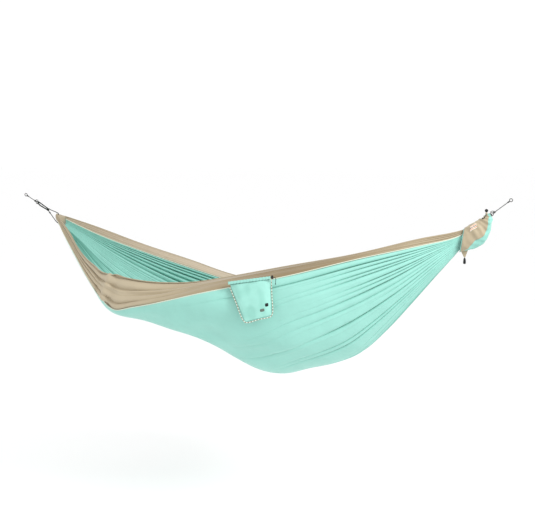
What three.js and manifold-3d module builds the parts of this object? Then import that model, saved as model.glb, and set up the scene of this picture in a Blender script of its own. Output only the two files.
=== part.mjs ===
// Parachute-cloth camping hammock, hanging between its two suspension ropes in the shape of a
// diagonal lay, with a pocket sewn to the near side and a sleeve bag drawn over the right end.
// Millimetres. +X runs from the left end to the right end, +Y away from the pocket side, +Z up.
// The origin is the centre of the left rope's eye, which the anchor holds.

import * as THREE from 'three';
import { mergeVertices } from 'three/addons/utils/BufferGeometryUtils.js';
import Module from 'manifold-3d';

const wasm = await Module();
wasm.setup();

// ---------------------------------------------------------------- driving dimensions

const CLOTH = 4;                 // thickness of the panels' solids
const TAPE_RADIUS = 2.4;         // piped seams between the panels
const HEM_RADIUS = 2.8;          // rolled outer hems
const EDGE_MARGIN = 4.2;         // from a seam or hem line to the panel's cut edge
const PANEL_START = 0.026;       // fractions of the cloth's length, where the gathers end
const PANEL_END = 0.974;
const GATHER_START = 0.0235;
const GATHER_END = 0.9765;
const CLOTH_STEPS = 32;

const ROPE_RADIUS = 2.2;
const EYE_RADIUS = 8;            // centreline of the spliced eyes
const LOOP_RADIUS = 8.5;         // centreline of the loops tied round the carabiners
const WHIPPING_LENGTH = 13;
const KNOT_LENGTH = 13;
const TOUCH = 0.35;              // gap left between pieces that touch

const STOCK_RADIUS = 3.8;        // carabiner rod
const WIDE_RADIUS = 20;          // centreline of the wide end
const NARROW_RADIUS = 13;        // centreline of the narrow end
const CARABINER_LENGTH = 84;     // between the centrelines of the two ends
const GATE_RADIUS = 3.4;
const PIN_RADIUS = 1.1;
const PIN_LENGTH = 6;
const SPRING = { radius: 1, length: 9, behindPivot: 8.6 };   // inside the gate
const SPRING_WELL = { radius: 1.4, length: 12, behindPivot: 8 };
const TANG = { length: 9, height: 5, thick: 2.4 };           // of the body, between the gate's ears
const TANG_SLOT = { length: 8, height: 10, width: 3.2 };

const CORD_RADIUS = 2.2;         // end cords of the hammock
const CORD_HOLE_RADIUS = 3.6;    // the gathers' channels for them
const TAIL_RADIUS = 1.8;         // loose ends of the ropes' knots

// where the suspension lines meet the cloth, in the cloth's frame (midway between the gathers)
const LEFT_TIP = new THREE.Vector3(-1250, 0, -4);
const RIGHT_TIP = new THREE.Vector3(1205, 0, -30);

// how far the belly hangs over to the far side, so that its weight is under the two ends
const LEAN = new THREE.Vector3(-12, 48, -8);
const LEFT = { name: 'left', slope: 31, barAt: 91, reach: 240, roll: 143, tip: LEFT_TIP };
const RIGHT = { name: 'right', slope: 38, barAt: 125, reach: 238, roll: 0, tip: RIGHT_TIP };

// ---------------------------------------------------------------- materials

const finish = (color, roughness, metalness = 0) =>
  new THREE.MeshStandardMaterial({ color, roughness, metalness });

const MINT = () => finish(0x9fdccb, 0.62);
const TAN = () => finish(0xbbac98, 0.68);
const PIPING = () => finish(0xd9d2c0, 0.7);
const ROPE_GREY = () => finish(0x8d8f90, 0.75);
const BLACK_CORD = () => finish(0x1c211f, 0.7);
const STEEL = () => finish(0x27332f, 0.35, 0.85);
const BLACK_PLASTIC = () => finish(0x151616, 0.45);
const BADGE = () => finish(0xc98a52, 0.6);

// ---------------------------------------------------------------- helpers

/** A point of the cloth's form, given without the lean that it takes up between the tips. */
function leaning([x, y, z]) {
  const between = (x - LEFT_TIP.x) / (RIGHT_TIP.x - LEFT_TIP.x);
  const share = Math.sin(Math.PI * THREE.MathUtils.clamp(between, 0, 1));
  return new THREE.Vector3(x, y, z).addScaledVector(LEAN, share);
}

const radians = THREE.MathUtils.degToRad;
const lerp = THREE.MathUtils.lerp;

function piece(name, geometry, material) {
  const mesh = new THREE.Mesh(geometry, material);
  mesh.name = name;
  return mesh;
}

function toSolid(geometry) {
  const bare = geometry.clone();
  bare.deleteAttribute('normal');
  bare.deleteAttribute('uv');
  const merged = mergeVertices(bare, 1e-4);
  return new wasm.Manifold(new wasm.Mesh({
    numProp: 3,
    vertProperties: new Float32Array(merged.attributes.position.array),
    triVerts: new Uint32Array(merged.index.array),
  }));
}

function toGeometry(solid) {
  const { vertProperties, triVerts } = solid.getMesh();
  const geometry = new THREE.BufferGeometry();
  geometry.setAttribute('position', new THREE.BufferAttribute(vertProperties, 3));
  geometry.setIndex(new THREE.BufferAttribute(triVerts, 1));
  geometry.computeVertexNormals();
  return geometry;
}

/** A regular polygon standing on a flat, for the section of a round rod. */
function roundSection(radius, sides) {
  const corner = k => 2 * Math.PI * (k + 0.5) / sides;
  return Array.from({ length: sides }, (_, k) =>
    new THREE.Vector2(radius * Math.cos(corner(k)), radius * Math.sin(corner(k))));
}

/** A round rod along a smooth curve through the points. */
function rod(points, radius, steps, sides = 8) {
  const path = new THREE.CatmullRomCurve3(points, false, 'centripetal');
  const section = new THREE.Shape(roundSection(radius, sides));
  return new THREE.ExtrudeGeometry(section, { extrudePath: path, steps, bevelEnabled: false });
}

/** A ring about the Y axis with a flat of its inner side facing the centre at -X. */
function ring(radius, rodRadius, segments = 20, sides = 8) {
  const profile = roundSection(rodRadius, sides).map(p => new THREE.Vector2(radius + p.x, p.y));
  profile.push(profile[0].clone());
  return new THREE.LatheGeometry(profile, segments, Math.PI / 2 - Math.PI / segments);
}

/** A turned solid along +X; the profile lists [x, radius] from end to end. */
function turned(profile, segments = 10) {
  const points = profile.map(([x, radius]) => new THREE.Vector2(radius, -x));
  const closed = [new THREE.Vector2(0, points[0].y), ...points,
    new THREE.Vector2(0, points[points.length - 1].y)].reverse();
  return new THREE.LatheGeometry(closed, segments).rotateZ(Math.PI / 2);
}

/** A closed shell from two matching grids of points (rows[i][j]); wrap joins each row into a loop. */
function shell(outer, inner, wrap = false) {
  const rows = outer.length;
  const columns = outer[0].length;
  const positions = [...outer, ...inner].flat().flatMap(p => [p.x, p.y, p.z]);
  const at = (side, i, j) => side * rows * columns + i * columns + (j % columns);
  const triangles = [];
  const quad = (a, b, c, d) => triangles.push(a, b, c, a, c, d);
  const lastColumn = wrap ? columns : columns - 1;
  for (let i = 0; i < rows - 1; i++) {
    for (let j = 0; j < lastColumn; j++) {
      quad(at(0, i, j), at(0, i + 1, j), at(0, i + 1, j + 1), at(0, i, j + 1));
      quad(at(1, i, j), at(1, i, j + 1), at(1, i + 1, j + 1), at(1, i + 1, j));
    }
    if (!wrap) {
      quad(at(0, i, 0), at(1, i, 0), at(1, i + 1, 0), at(0, i + 1, 0));
      quad(at(0, i, lastColumn), at(0, i + 1, lastColumn),
        at(1, i + 1, lastColumn), at(1, i, lastColumn));
    }
  }
  for (let j = 0; j < lastColumn; j++) {
    quad(at(0, 0, j), at(0, 0, j + 1), at(1, 0, j + 1), at(1, 0, j));
    quad(at(0, rows - 1, j), at(1, rows - 1, j), at(1, rows - 1, j + 1), at(0, rows - 1, j + 1));
  }
  return facingOut(positions, triangles);
}

/** A closed solid through matching loops of points, capped at both ends. */
function loft(loops) {
  const columns = loops[0].length;
  const positions = loops.flat().flatMap(p => [p.x, p.y, p.z]);
  const triangles = [];
  for (let i = 0; i < loops.length - 1; i++) {
    for (let j = 0; j < columns; j++) {
      const [a, b] = [i * columns + j, i * columns + (j + 1) % columns];
      triangles.push(a, a + columns, b + columns, a, b + columns, b);
    }
  }
  [0, loops.length - 1].forEach((row, end) => {
    const middle = loops[row].reduce((sum, p) => sum.add(p), new THREE.Vector3());
    middle.divideScalar(columns);
    const centre = positions.length / 3;
    positions.push(middle.x, middle.y, middle.z);
    for (let j = 0; j < columns; j++) {
      const [a, b] = [row * columns + j, row * columns + (j + 1) % columns];
      triangles.push(...(end ? [centre, b, a] : [centre, a, b]));
    }
  });
  return facingOut(positions, triangles);
}

/** Geometry from positions and triangles, turned over if its volume comes out negative. */
function facingOut(positions, triangles) {
  const at = k => new THREE.Vector3(...positions.slice(3 * k, 3 * k + 3));
  let volume = 0;
  for (let t = 0; t < triangles.length; t += 3) {
    const [a, b, c] = [at(triangles[t]), at(triangles[t + 1]), at(triangles[t + 2])];
    volume += a.dot(b.cross(c));
  }
  if (volume < 0) triangles.reverse();
  const geometry = new THREE.BufferGeometry();
  geometry.setAttribute('position', new THREE.Float32BufferAttribute(positions, 3));
  geometry.setIndex(triangles);
  geometry.computeVertexNormals();
  return geometry;
}

// ---------------------------------------------------------------- the cloth's form

// Seven lines that run the length of the cloth, from gather to gather. The near corner stands
// out at the left, where the foot of the diagonal lay is, and the far corner at the right.
const LINES = [
  // near hem
  [[-1252, -7, 6], [-1114, -115, -95], [-1027, -190, -174], [-943, -262, -225], [-854, -335, -260],
    [-789, -385, -287], [-725, -415, -290], [-654, -430, -302], [-491, -420, -325],
    [-284, -340, -332], [-82, -250, -304], [227, -170, -246], [582, -100, -180], [922, -50, -95],
    [1110, -22, -57], [1206, -7, -27]],
  // near seam
  [[-1253, -13, -4], [-1179, -75, -94], [-1067, -175, -195], [-957, -275, -291],
    [-868, -350, -366], [-790, -410, -425], [-728, -448, -460], [-670, -475, -479],
    [-571, -495, -458], [-460, -500, -435], [-180, -480, -367], [-29, -430, -337],
    [263, -330, -279], [597, -210, -198], [926, -100, -128], [1114, -36, -84], [1206, -13, -35]],
  // near side
  [[-1252, -13, -22], [-1114, -100, -180], [-964, -205, -329], [-846, -290, -423],
    [-730, -375, -513], [-560, -395, -545], [-380, -395, -582], [-180, -375, -608],
    [60, -365, -640], [300, -330, -605], [560, -250, -500], [800, -160, -360], [1020, -75, -196],
    [1114, -36, -124], [1204, -13, -48]],
  // keel
  [[-1249, 0, -38], [-1110, -40, -150], [-960, -90, -290], [-790, -150, -410], [-600, -190, -505],
    [-400, -190, -585], [-220, -160, -682], [-60, -120, -800], [70, -100, -864], [190, -90, -876],
    [330, -90, -838], [476, -90, -796], [610, -90, -731], [739, -75, -600], [865, -55, -453],
    [1000, -30, -300], [1112, -10, -177], [1202, 0, -61]],
  // far side
  [[-1251, 13, -22], [-1080, 60, -130], [-880, 130, -260], [-640, 210, -395], [-400, 290, -510],
    [-150, 360, -620], [100, 405, -695], [350, 410, -690], [600, 355, -600], [820, 240, -440],
    [1020, 95, -243], [1114, 36, -136], [1204, 13, -48]],
  // far seam
  [[-1253, 13, -4], [-1028, 86, -121], [-733, 190, -244], [-443, 290, -353], [-205, 370, -435],
    [69, 432, -488], [313, 462, -496], [530, 440, -460], [706, 372, -389], [883, 250, -281],
    [1040, 100, -169], [1114, 42, -98], [1206, 13, -35]],
  // far hem
  [[-1252, 7, 6], [-1060, 108, -72], [-794, 232, -189], [-516, 342, -294], [-304, 421, -378],
    [-62, 508, -445], [188, 562, -472], [419, 568, -447], [611, 497, -374], [793, 380, -283],
    [975, 195, -162], [1108, 39, -72], [1206, 7, -27]],
].map(points => new THREE.CatmullRomCurve3(points.map(leaning), false, 'centripetal'));
LINES.forEach(line => { line.arcLengthDivisions = 800; });

const STRIPS = LINES.length - 1;
const NEAR_HEM = 0;
const NEAR_SEAM = 1;
const FAR_SEAM = STRIPS - 1;
const FAR_HEM = STRIPS;

/** The curve across the cloth at a fraction s of its length; line k is at parameter k / STRIPS. */
function sectionAt(s) {
  return new THREE.CatmullRomCurve3(LINES.map(line => line.getPointAt(s)), false, 'centripetal');
}

function outwardNormal(s, t) {
  const step = 1e-3;
  const [s0, s1] = [Math.max(0, s - step), Math.min(1, s + step)];
  const along = sectionAt(s1).getPoint(t).sub(sectionAt(s0).getPoint(t));
  const [t0, t1] = [Math.max(0, t - step), Math.min(1, t + step)];
  const across = sectionAt(s).getPoint(t1).sub(sectionAt(s).getPoint(t0));
  return along.cross(across).normalize().negate();
}

/** The section's parameter a given distance beyond line k, towards the far side if positive. */
function beside(section, k, distance) {
  const t = k / STRIPS;
  const probe = Math.sign(distance) * 1e-3;
  const speed = section.getPoint(t + probe).distanceTo(section.getPoint(t)) / Math.abs(probe);
  return t + distance / speed;
}

/** A panel of cloth between two lines, as a shell about the cloth's surface. */
function panel(first, last, across) {
  const outer = [];
  const inner = [];
  for (let i = 0; i <= CLOTH_STEPS; i++) {
    const s = lerp(PANEL_START, PANEL_END, i / CLOTH_STEPS);
    const section = sectionAt(s);
    const from = beside(section, first, EDGE_MARGIN);
    const to = beside(section, last, -EDGE_MARGIN);
    const [outerRow, innerRow] = [[], []];
    for (let j = 0; j <= across; j++) {
      const t = lerp(from, to, j / across);
      const normal = outwardNormal(s, t).multiplyScalar(CLOTH / 2);
      const middle = section.getPoint(t);
      outerRow.push(middle.clone().add(normal));
      innerRow.push(middle.clone().sub(normal));
    }
    outer.push(outerRow);
    inner.push(innerRow);
  }
  return shell(outer, inner);
}

/** The rolled hem or piped seam that runs along one of the lines. */
function edging(line, radius) {
  const points = Array.from({ length: CLOTH_STEPS + 1 }, (_, i) =>
    LINES[line].getPointAt(lerp(PANEL_START, PANEL_END, i / CLOTH_STEPS)));
  return rod(points, radius, CLOTH_STEPS, 6);
}

/** The bunched end of the cloth, sewn into a channel that the end cord runs through. */
function gather(side, from, to) {
  const loops = [0, 0.5, 1].map(f => sectionAt(lerp(from, to, f)).getPoints(2 * STRIPS));
  const solid = toSolid(loft(loops));
  const hole = cordHole(side);
  const deep = 90;
  const bore = new THREE.CylinderGeometry(CORD_HOLE_RADIUS, CORD_HOLE_RADIUS, deep, 10);
  bore.rotateX(Math.PI / 2).translate(hole.x, hole.y, hole.z);
  return toGeometry(solid.subtract(toSolid(bore)));
}

/** The middle of the upright hole through a gather, just inside its end. */
function cordHole(side) {
  const fromEnd = 10;
  const belowTip = 12;
  const inward = side.name === 'left' ? 1 : -1;
  return new THREE.Vector3(side.tip.x + inward * fromEnd, 0, side.tip.z - belowTip);
}

function clothPieces() {
  return [
    piece('centre_panel', panel(NEAR_SEAM, FAR_SEAM, 14), MINT()),
    piece('near_side_panel', panel(NEAR_HEM, NEAR_SEAM, 3), TAN()),
    piece('far_side_panel', panel(FAR_SEAM, FAR_HEM, 3), TAN()),
    piece('near_seam_piping', edging(NEAR_SEAM, TAPE_RADIUS), PIPING()),
    piece('far_seam_piping', edging(FAR_SEAM, TAPE_RADIUS), PIPING()),
    piece('near_hem', edging(NEAR_HEM, HEM_RADIUS), TAN()),
    piece('far_hem', edging(FAR_HEM, HEM_RADIUS), TAN()),
    piece('left_gather', gather(LEFT, 0, GATHER_START), TAN()),
    piece('right_gather', gather(RIGHT, 1, GATHER_END), TAN()),
  ];
}

// ---------------------------------------------------------------- suspension lines
// Each line is built along its own +X, from the anchor's eye at 0 to the gather at its reach.

function lineGroup(side) {
  const slope = radians(side.slope);
  const outward = side.name === 'left' ? -1 : 1;
  const group = new THREE.Group();
  group.position.set(
    side.tip.x + outward * side.reach * Math.cos(slope), 0,
    side.tip.z + side.reach * Math.sin(slope));
  group.rotation.y = side.name === 'left' ? slope : Math.PI - slope;
  return group;
}

function ropePieces(side) {
  const { name } = side;
  const whipping = EYE_RADIUS + ROPE_RADIUS + TOUCH;
  const slack = 0.8;               // between the loop and the carabiner's bar that pulls in it
  const loopAt = side.barAt - (LOOP_RADIUS - ROPE_RADIUS - STOCK_RADIUS - slack);
  const knotEnd = loopAt - LOOP_RADIUS - ROPE_RADIUS - TOUCH;
  const knot = knotEnd - KNOT_LENGTH;
  const ropeStart = whipping + WHIPPING_LENGTH + TOUCH;
  const ropeEnd = knot - TOUCH;
  const straight = [ropeStart, ropeEnd].map(x => new THREE.Vector3(x, 0, 0));

  const whippingProfile = [[0, 3.4], [1.5, 3.9], [WHIPPING_LENGTH - 2, 3.3], [WHIPPING_LENGTH, 2.7]];
  const knotProfile = [[0, 3], [1.5, 5], [4, 5.6], [5.2, 4.8], [6.5, 5.8], [8, 4.9], [10, 5.6],
    [12, 4.6], [KNOT_LENGTH, 3.2]];
  const up = name === 'left' ? 1 : -1;
  const tail = [[knot + 3, 0, 8.4], [knot + 8, -1, 9.6], [knot + 15, -3, 13], [knot + 23, -4, 14]]
    .map(([x, y, z]) => new THREE.Vector3(x, y, up * z));

  const loop = piece(`${name}_rope_loop`, ring(LOOP_RADIUS, ROPE_RADIUS), ROPE_GREY());
  loop.position.x = loopAt;
  loop.rotation.x = radians(side.roll);
  return [
    piece(`${name}_rope_eye`, ring(EYE_RADIUS, ROPE_RADIUS), ROPE_GREY()),
    piece(`${name}_eye_whipping`, turned(whippingProfile).translate(whipping, 0, 0), BLACK_CORD()),
    piece(`${name}_rope`, rod(straight, ROPE_RADIUS, 8), ROPE_GREY()),
    piece(`${name}_rope_knot`, turned(knotProfile, 12).translate(knot, 0, 0), ROPE_GREY()),
    piece(`${name}_knot_tail`, rod(tail, TAIL_RADIUS, 6), ROPE_GREY()),
    loop,
  ];
}

// The carabiner lies in its own XY plane, the wide end's bar at the origin, narrow end at +X,
// gate on the +Y side.
const GATE_NOSE = new THREE.Vector3(24, 19.4, 0);
const GATE_END = new THREE.Vector3(68, 13.4, 0);
const GATE_ANGLE = Math.atan2(GATE_END.y - GATE_NOSE.y, GATE_END.x - GATE_NOSE.x);
const GATE_RUN = GATE_NOSE.distanceTo(GATE_END);
const PIVOT_FROM_END = 5;
const GATE_PIVOT = GATE_NOSE.clone().lerp(GATE_END, 1 - PIVOT_FROM_END / GATE_RUN);

function arcPoints(centreX, radius, from, to, count) {
  return Array.from({ length: count + 1 }, (_, k) => {
    const angle = radians(lerp(from, to, k / count));
    return new THREE.Vector3(centreX + radius * Math.cos(angle), radius * Math.sin(angle), 0);
  });
}

/** A solid box or rod laid along the gate, x measured from the gate's pivot. */
function alongGate(geometry) {
  return geometry.rotateZ(GATE_ANGLE).translate(GATE_PIVOT.x, GATE_PIVOT.y, 0);
}

function pinHole() {
  const radius = PIN_RADIUS + 0.2;
  const hole = new THREE.CylinderGeometry(radius, radius, 20, 12);
  return alongGate(hole.rotateX(Math.PI / 2));
}

function carabinerBody() {
  const route = [
    GATE_NOSE,
    ...arcPoints(WIDE_RADIUS, WIDE_RADIUS, 92, 268, 10),
    new THREE.Vector3(45, -17, 0),
    ...arcPoints(CARABINER_LENGTH - NARROW_RADIUS, NARROW_RADIUS, -92, 86, 8),
    GATE_END,
  ];
  const tang = alongGate(
    new THREE.BoxGeometry(TANG.length, TANG.height, TANG.thick).translate(2.1, 0, 0));
  const body = toSolid(rod(route, STOCK_RADIUS, 34)).add(toSolid(tang));
  return toGeometry(body.subtract(toSolid(pinHole())));
}

function carabinerGate() {
  const toNose = GATE_RUN - PIVOT_FROM_END - 0.6;
  const behindPivot = 2.4;
  const length = toNose + behindPivot;
  const bar = new THREE.CylinderGeometry(GATE_RADIUS, GATE_RADIUS, length, 10);
  bar.rotateZ(Math.PI / 2).translate(behindPivot - length / 2, 0, 0);
  const slot = new THREE.BoxGeometry(TANG_SLOT.length, TANG_SLOT.height, TANG_SLOT.width);
  slot.translate(0.6, 0, 0);
  const bore = lengthwise(SPRING_WELL);
  return toGeometry(toSolid(alongGate(bar))
    .subtract(toSolid(alongGate(slot)))
    .subtract(toSolid(alongGate(bore)))
    .subtract(toSolid(pinHole())));
}

/** A cylinder along the gate, behind its pivot. */
function lengthwise({ radius, length, behindPivot }) {
  return new THREE.CylinderGeometry(radius, radius, length, 8)
    .rotateZ(Math.PI / 2).translate(-behindPivot, 0, 0);
}

function carabinerPieces(side) {
  const { name } = side;
  const pin = new THREE.CylinderGeometry(PIN_RADIUS, PIN_RADIUS, PIN_LENGTH, 12).rotateX(Math.PI / 2);
  const spring = lengthwise(SPRING);
  const group = new THREE.Group();
  group.position.x = side.barAt;
  group.rotation.x = radians(side.roll);
  group.add(
    piece(`${name}_carabiner_body`, carabinerBody(), STEEL()),
    piece(`${name}_gate`, carabinerGate(), STEEL()),
    piece(`${name}_gate_pin`, alongGate(pin), STEEL()),
    piece(`${name}_gate_spring`, alongGate(spring), STEEL()),
  );
  return group;
}

/** The end cord: up out of the gather's channel, round the carabiner's narrow end and back. */
function endCordPieces(side, group) {
  const { name } = side;
  group.updateMatrix();
  const toLine = group.matrix.clone().invert();
  const hole = cordHole(side);
  const inward = name === 'left' ? 1 : -1;
  const local = (dx, dy, z) =>
    new THREE.Vector3(hole.x + inward * dx, dy, z).applyMatrix4(toLine);
  const turn = radians(side.roll);
  const bar = side.barAt + CARABINER_LENGTH;
  const clear = STOCK_RADIUS + CORD_RADIUS + 1.2;
  const round = (angle, out = 0) => new THREE.Vector3(
    bar + out + clear * Math.cos(angle),
    -clear * Math.sin(angle) * Math.sin(turn),
    clear * Math.sin(angle) * Math.cos(turn));

  const foot = local(-16, 0, hole.z - 26);
  const lastTurn = round(Math.PI / 2, 7);
  const direction = foot.clone().sub(lastTurn).normalize();
  const knotLength = 8;
  const knotStart = lastTurn.clone().addScaledVector(direction, 5);
  const knotEnd = knotStart.clone().addScaledVector(direction, knotLength);
  const route = [
    knotEnd.clone().addScaledVector(direction, TOUCH),
    knotEnd.clone().addScaledVector(direction, 4),
    foot,
    local(-7, 0, hole.z - 33),
    local(0, 0, hole.z - 25),
    hole.clone().applyMatrix4(toLine),
    local(0, 0, hole.z + 20),
    local(-4, 0, hole.z + 26),
    round(-Math.PI / 2, 9),
    ...[-90, -135, -180, -225, -270].map(degrees => round(radians(degrees))),
    lastTurn,
    knotStart.clone().addScaledVector(direction, -TOUCH),
  ];
  const knot = turned([[0, 2.4], [1.5, 4.2], [3.6, 4.7], [4.5, 4], [5.6, 4.7], [7.6, 4.1],
    [knotLength, 2.4]]);
  const knotPiece = piece(`${name}_cord_knot`, knot, BLACK_CORD());
  knotPiece.position.copy(knotStart);
  knotPiece.quaternion.setFromUnitVectors(new THREE.Vector3(1, 0, 0), direction);
  return [piece(`${name}_end_cord`, rod(route, CORD_RADIUS, 44, 6), BLACK_CORD()), knotPiece];
}

function suspension(side) {
  const group = lineGroup(side);
  group.add(...ropePieces(side), carabinerPieces(side), ...endCordPieces(side, group));
  return group;
}

// ---------------------------------------------------------------- the near-side pocket
// Built flat in its own frame: X along the hinge seam at its top, Z up, -Y outward.

const POCKET_LEFT = leaning([-39, -452, -305]);
const POCKET_RIGHT = leaning([185, -404, -274]);
const POCKET_FOOT = leaning([58, -474, -517]);
const POCKET_OUTLINE = [[0, 0], [231, 0], [212, -208], [61, -226]];
const POCKET_DEPTH = 15;
const POCKET_MARGIN = 6;          // from the outline to the edges of the front and back
const POCKET_WALL = 2;
const POCKET_MOUTH = 0.115;       // where the front starts, below the channel
const CHANNEL_HEIGHT = 15;
const CHANNEL_THICK = 6;
const CHANNEL_BORE = 1.9;         // radius of the way for the drawcord
const CHANNEL_INSET = 3;          // from each end of the mouth
const DRAWCORD_RADIUS = 1.3;
const STUD = { radius: 7, base: 8, height: 3, at: [0.87, 0.72] };
const LABEL = { size: [24, 15, 1], at: [0.7, 0.83] };

function pocketGroup() {
  const across = POCKET_RIGHT.clone().sub(POCKET_LEFT).normalize();
  const down = POCKET_FOOT.clone().sub(POCKET_LEFT);
  const inward = across.clone().cross(down).normalize();
  const up = across.clone().cross(inward);
  const group = new THREE.Group();
  group.applyMatrix4(new THREE.Matrix4().makeBasis(across, inward, up));
  group.position.copy(POCKET_LEFT);
  return group;
}

/** A point of the pocket's outline, u across and v down, both 0 to 1, shrunk by a margin. */
function pocketPoint(u, v, margin = 0) {
  const [topLeft, topRight, footRight, footLeft] = POCKET_OUTLINE;
  const left = [0, 1].map(k => lerp(topLeft[k], footLeft[k], v));
  const right = [0, 1].map(k => lerp(topRight[k], footRight[k], v));
  const x = lerp(left[0] + margin, right[0] - margin, u);
  const z = lerp(left[1], right[1], u) + margin * v;
  return new THREE.Vector3(x, 0, z);
}

/** How far the front of the pocket stands off its back. */
function pocketSwell(u, v) {
  const across = 1 - Math.abs(2 * u - 1) ** 3;
  const down = 1 - Math.max(0, (v - 0.45) / 0.55) ** 2.5;
  return 1.2 + (POCKET_DEPTH - 1.2) * across * down;
}

function pocketFront(u, v, standOff = 0) {
  const point = pocketPoint(u, v, POCKET_MARGIN);
  point.y = -pocketSwell(u, v) - standOff;
  return point;
}

function pocketGrid(columns, rows, pointAt) {
  return Array.from({ length: rows + 1 }, (_, i) =>
    Array.from({ length: columns + 1 }, (_, j) => pointAt(j / columns, i / rows)));
}

function pocketBack() {
  const at = y => (u, v) => pocketPoint(u, v, POCKET_MARGIN).setY(y);
  return shell(pocketGrid(4, 4, at(0)), pocketGrid(4, 4, at(POCKET_WALL)));
}

function pocketFrontPanel() {
  const at = standOff => (u, v) => pocketFront(u, lerp(POCKET_MOUTH, 1, v), standOff);
  return shell(pocketGrid(10, 8, at(0)), pocketGrid(10, 8, at(POCKET_WALL)));
}

function pocketPiping() {
  const corner = (u, v) => pocketPoint(u, v, -1).setY(0);
  const route = [corner(0, 0.1), corner(0, 0.5), corner(0, 0.93), corner(0.07, 1),
    corner(0.5, 1), corner(0.93, 1), corner(1, 0.93), corner(1, 0.5), corner(1, 0.1)];
  return rod(route, 2, 40, 6);
}

/** Where the drawcord's line lies: in front of the mouth, just below the hinge seam. */
function channelLine() {
  return { y: -POCKET_DEPTH - 4, z: -1 - CHANNEL_HEIGHT / 2 };
}

/** The stiffened strip along the mouth, which the drawcord runs through. */
function pocketChannel() {
  const length = POCKET_OUTLINE[1][0] - 2 * CHANNEL_INSET;
  const { y, z } = channelLine();
  const middle = CHANNEL_INSET + length / 2;
  const bar = new THREE.BoxGeometry(length, CHANNEL_THICK, CHANNEL_HEIGHT).translate(middle, y, z);
  const bore = new THREE.CylinderGeometry(CHANNEL_BORE, CHANNEL_BORE, length + 4, 8);
  bore.rotateZ(Math.PI / 2).translate(middle, y, z);
  const webDepth = POCKET_DEPTH + 1;
  const web = new THREE.BoxGeometry(length, webDepth, 2).translate(middle, -webDepth / 2 - TOUCH, -2);
  return toGeometry(toSolid(bar).add(toSolid(web)).subtract(toSolid(bore)));
}

const LOCK = { length: 16, width: 11, height: 17, travel: 2, eye: 2, well: 3.6 };
const BUTTON = { radius: 3.2, length: 6 };
const LOCK_SPRING = { radius: 2.2, foot: 1.8 };   // it stands on the cord in the lock's eye

function lockCentre() {
  const { y, z } = channelLine();
  return new THREE.Vector3(POCKET_OUTLINE[1][0] + 7, y, z);
}

/** Cord lock: a barrel with a well for the spring and its push button, standing upright. */
function lockPieces() {
  const centre = lockCentre();
  const { length, width, height, travel, eye, well } = LOCK;
  const place = geometry => geometry.translate(centre.x, centre.y, centre.z);
  const upright = (radius, tall, z, sides = 12) =>
    new THREE.CylinderGeometry(radius, radius, tall, sides).rotateX(Math.PI / 2).translate(0, 0, z);
  const barrel = upright(width / 2, height, 0);
  const wellBore = upright(well, height - 2, 3);
  const eyeBore = new THREE.CylinderGeometry(eye, eye, length + 4, 8).rotateZ(Math.PI / 2);
  const buttonFoot = height / 2 - BUTTON.length + travel + 0.5;
  const button = upright(BUTTON.radius, BUTTON.length, buttonFoot + BUTTON.length / 2);
  const springLength = buttonFoot - TOUCH - LOCK_SPRING.foot;
  const spring = upright(LOCK_SPRING.radius, springLength, LOCK_SPRING.foot + springLength / 2, 8);
  const body = toSolid(place(barrel)).subtract(toSolid(place(wellBore)))
    .subtract(toSolid(place(eyeBore)));
  return [
    piece('pocket_lock_body', toGeometry(body), BLACK_PLASTIC()),
    piece('pocket_lock_button', place(button), BLACK_PLASTIC()),
    piece('pocket_lock_spring', place(spring), STEEL()),
  ];
}

function pocketDrawcord() {
  const lock = lockCentre();
  const at = (x, y, z) => new THREE.Vector3(lock.x + x, lock.y + y, lock.z + z);
  const route = [at(-204, 0, 0), at(-130, 0, 0), at(-60, 0, 0), at(0, 0, 0), at(9, 0, 0),
    at(16, -1, -5), at(17, -2, -14), at(14, -2, -26), at(12, -2, -38)];
  return rod(route, DRAWCORD_RADIUS, 36, 6);
}

/** A flat trim piece laid on the pocket's front about a point of its outline. */
function onPocket(geometry, [u, v]) {
  const standOff = POCKET_WALL + TOUCH;
  const step = 0.02;
  const [here, right, below] = [[u, v], [u + step, v], [u, v + step]]
    .map(([a, b]) => pocketFront(a, b, standOff));
  const across = right.sub(here).normalize();
  const outward = below.sub(here).cross(across).normalize();
  const up = outward.clone().cross(across);
  const basis = new THREE.Matrix4().makeBasis(across, up, outward);
  return geometry.applyMatrix4(basis.setPosition(here));
}

function pocketPieces() {
  const group = pocketGroup();
  const stud = new THREE.CylinderGeometry(STUD.radius, STUD.base, STUD.height, 16);
  stud.rotateX(Math.PI / 2).translate(0, 0, 2.1);
  const label = new THREE.BoxGeometry(...LABEL.size).translate(0, 0, 1.4);
  group.add(
    piece('pocket_back', pocketBack(), MINT()),
    piece('pocket_front', pocketFrontPanel(), MINT()),
    piece('pocket_piping', pocketPiping(), PIPING()),
    piece('pocket_channel', pocketChannel(), MINT()),
    piece('pocket_drawcord', pocketDrawcord(), BLACK_CORD()),
    piece('pocket_stud', onPocket(stud, STUD.at), BLACK_PLASTIC()),
    piece('pocket_label', onPocket(label, LABEL.at), TAN()),
    ...lockPieces(),
  );
  return group;
}

// ---------------------------------------------------------------- the sleeve bag at the right end
// Each station gives the top and bottom [x, z] of a cross-section and half its width.

const BAG_STATIONS = [
  { top: [1152, -40], bottom: [1132, -168], half: 46 },
  { top: [1178, -22], bottom: [1174, -157], half: 48 },
  { top: [1206, -2], bottom: [1222, -138], half: 46 },
  { top: [1230, 10], bottom: [1262, -115], half: 42 },
  { top: [1246, 19], bottom: [1280, -79], half: 37 },
  { top: [1257, 30], bottom: [1293, -39], half: 35 },
  { top: [1268, 39], bottom: [1298, -5], half: 33 },
  { top: [1284, 47], bottom: [1301, 18], half: 28 },
];
const BAG_WALL = 2;
const BAG_CORD_RADIUS = 1.6;
const BALL_RADIUS = 9;
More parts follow.
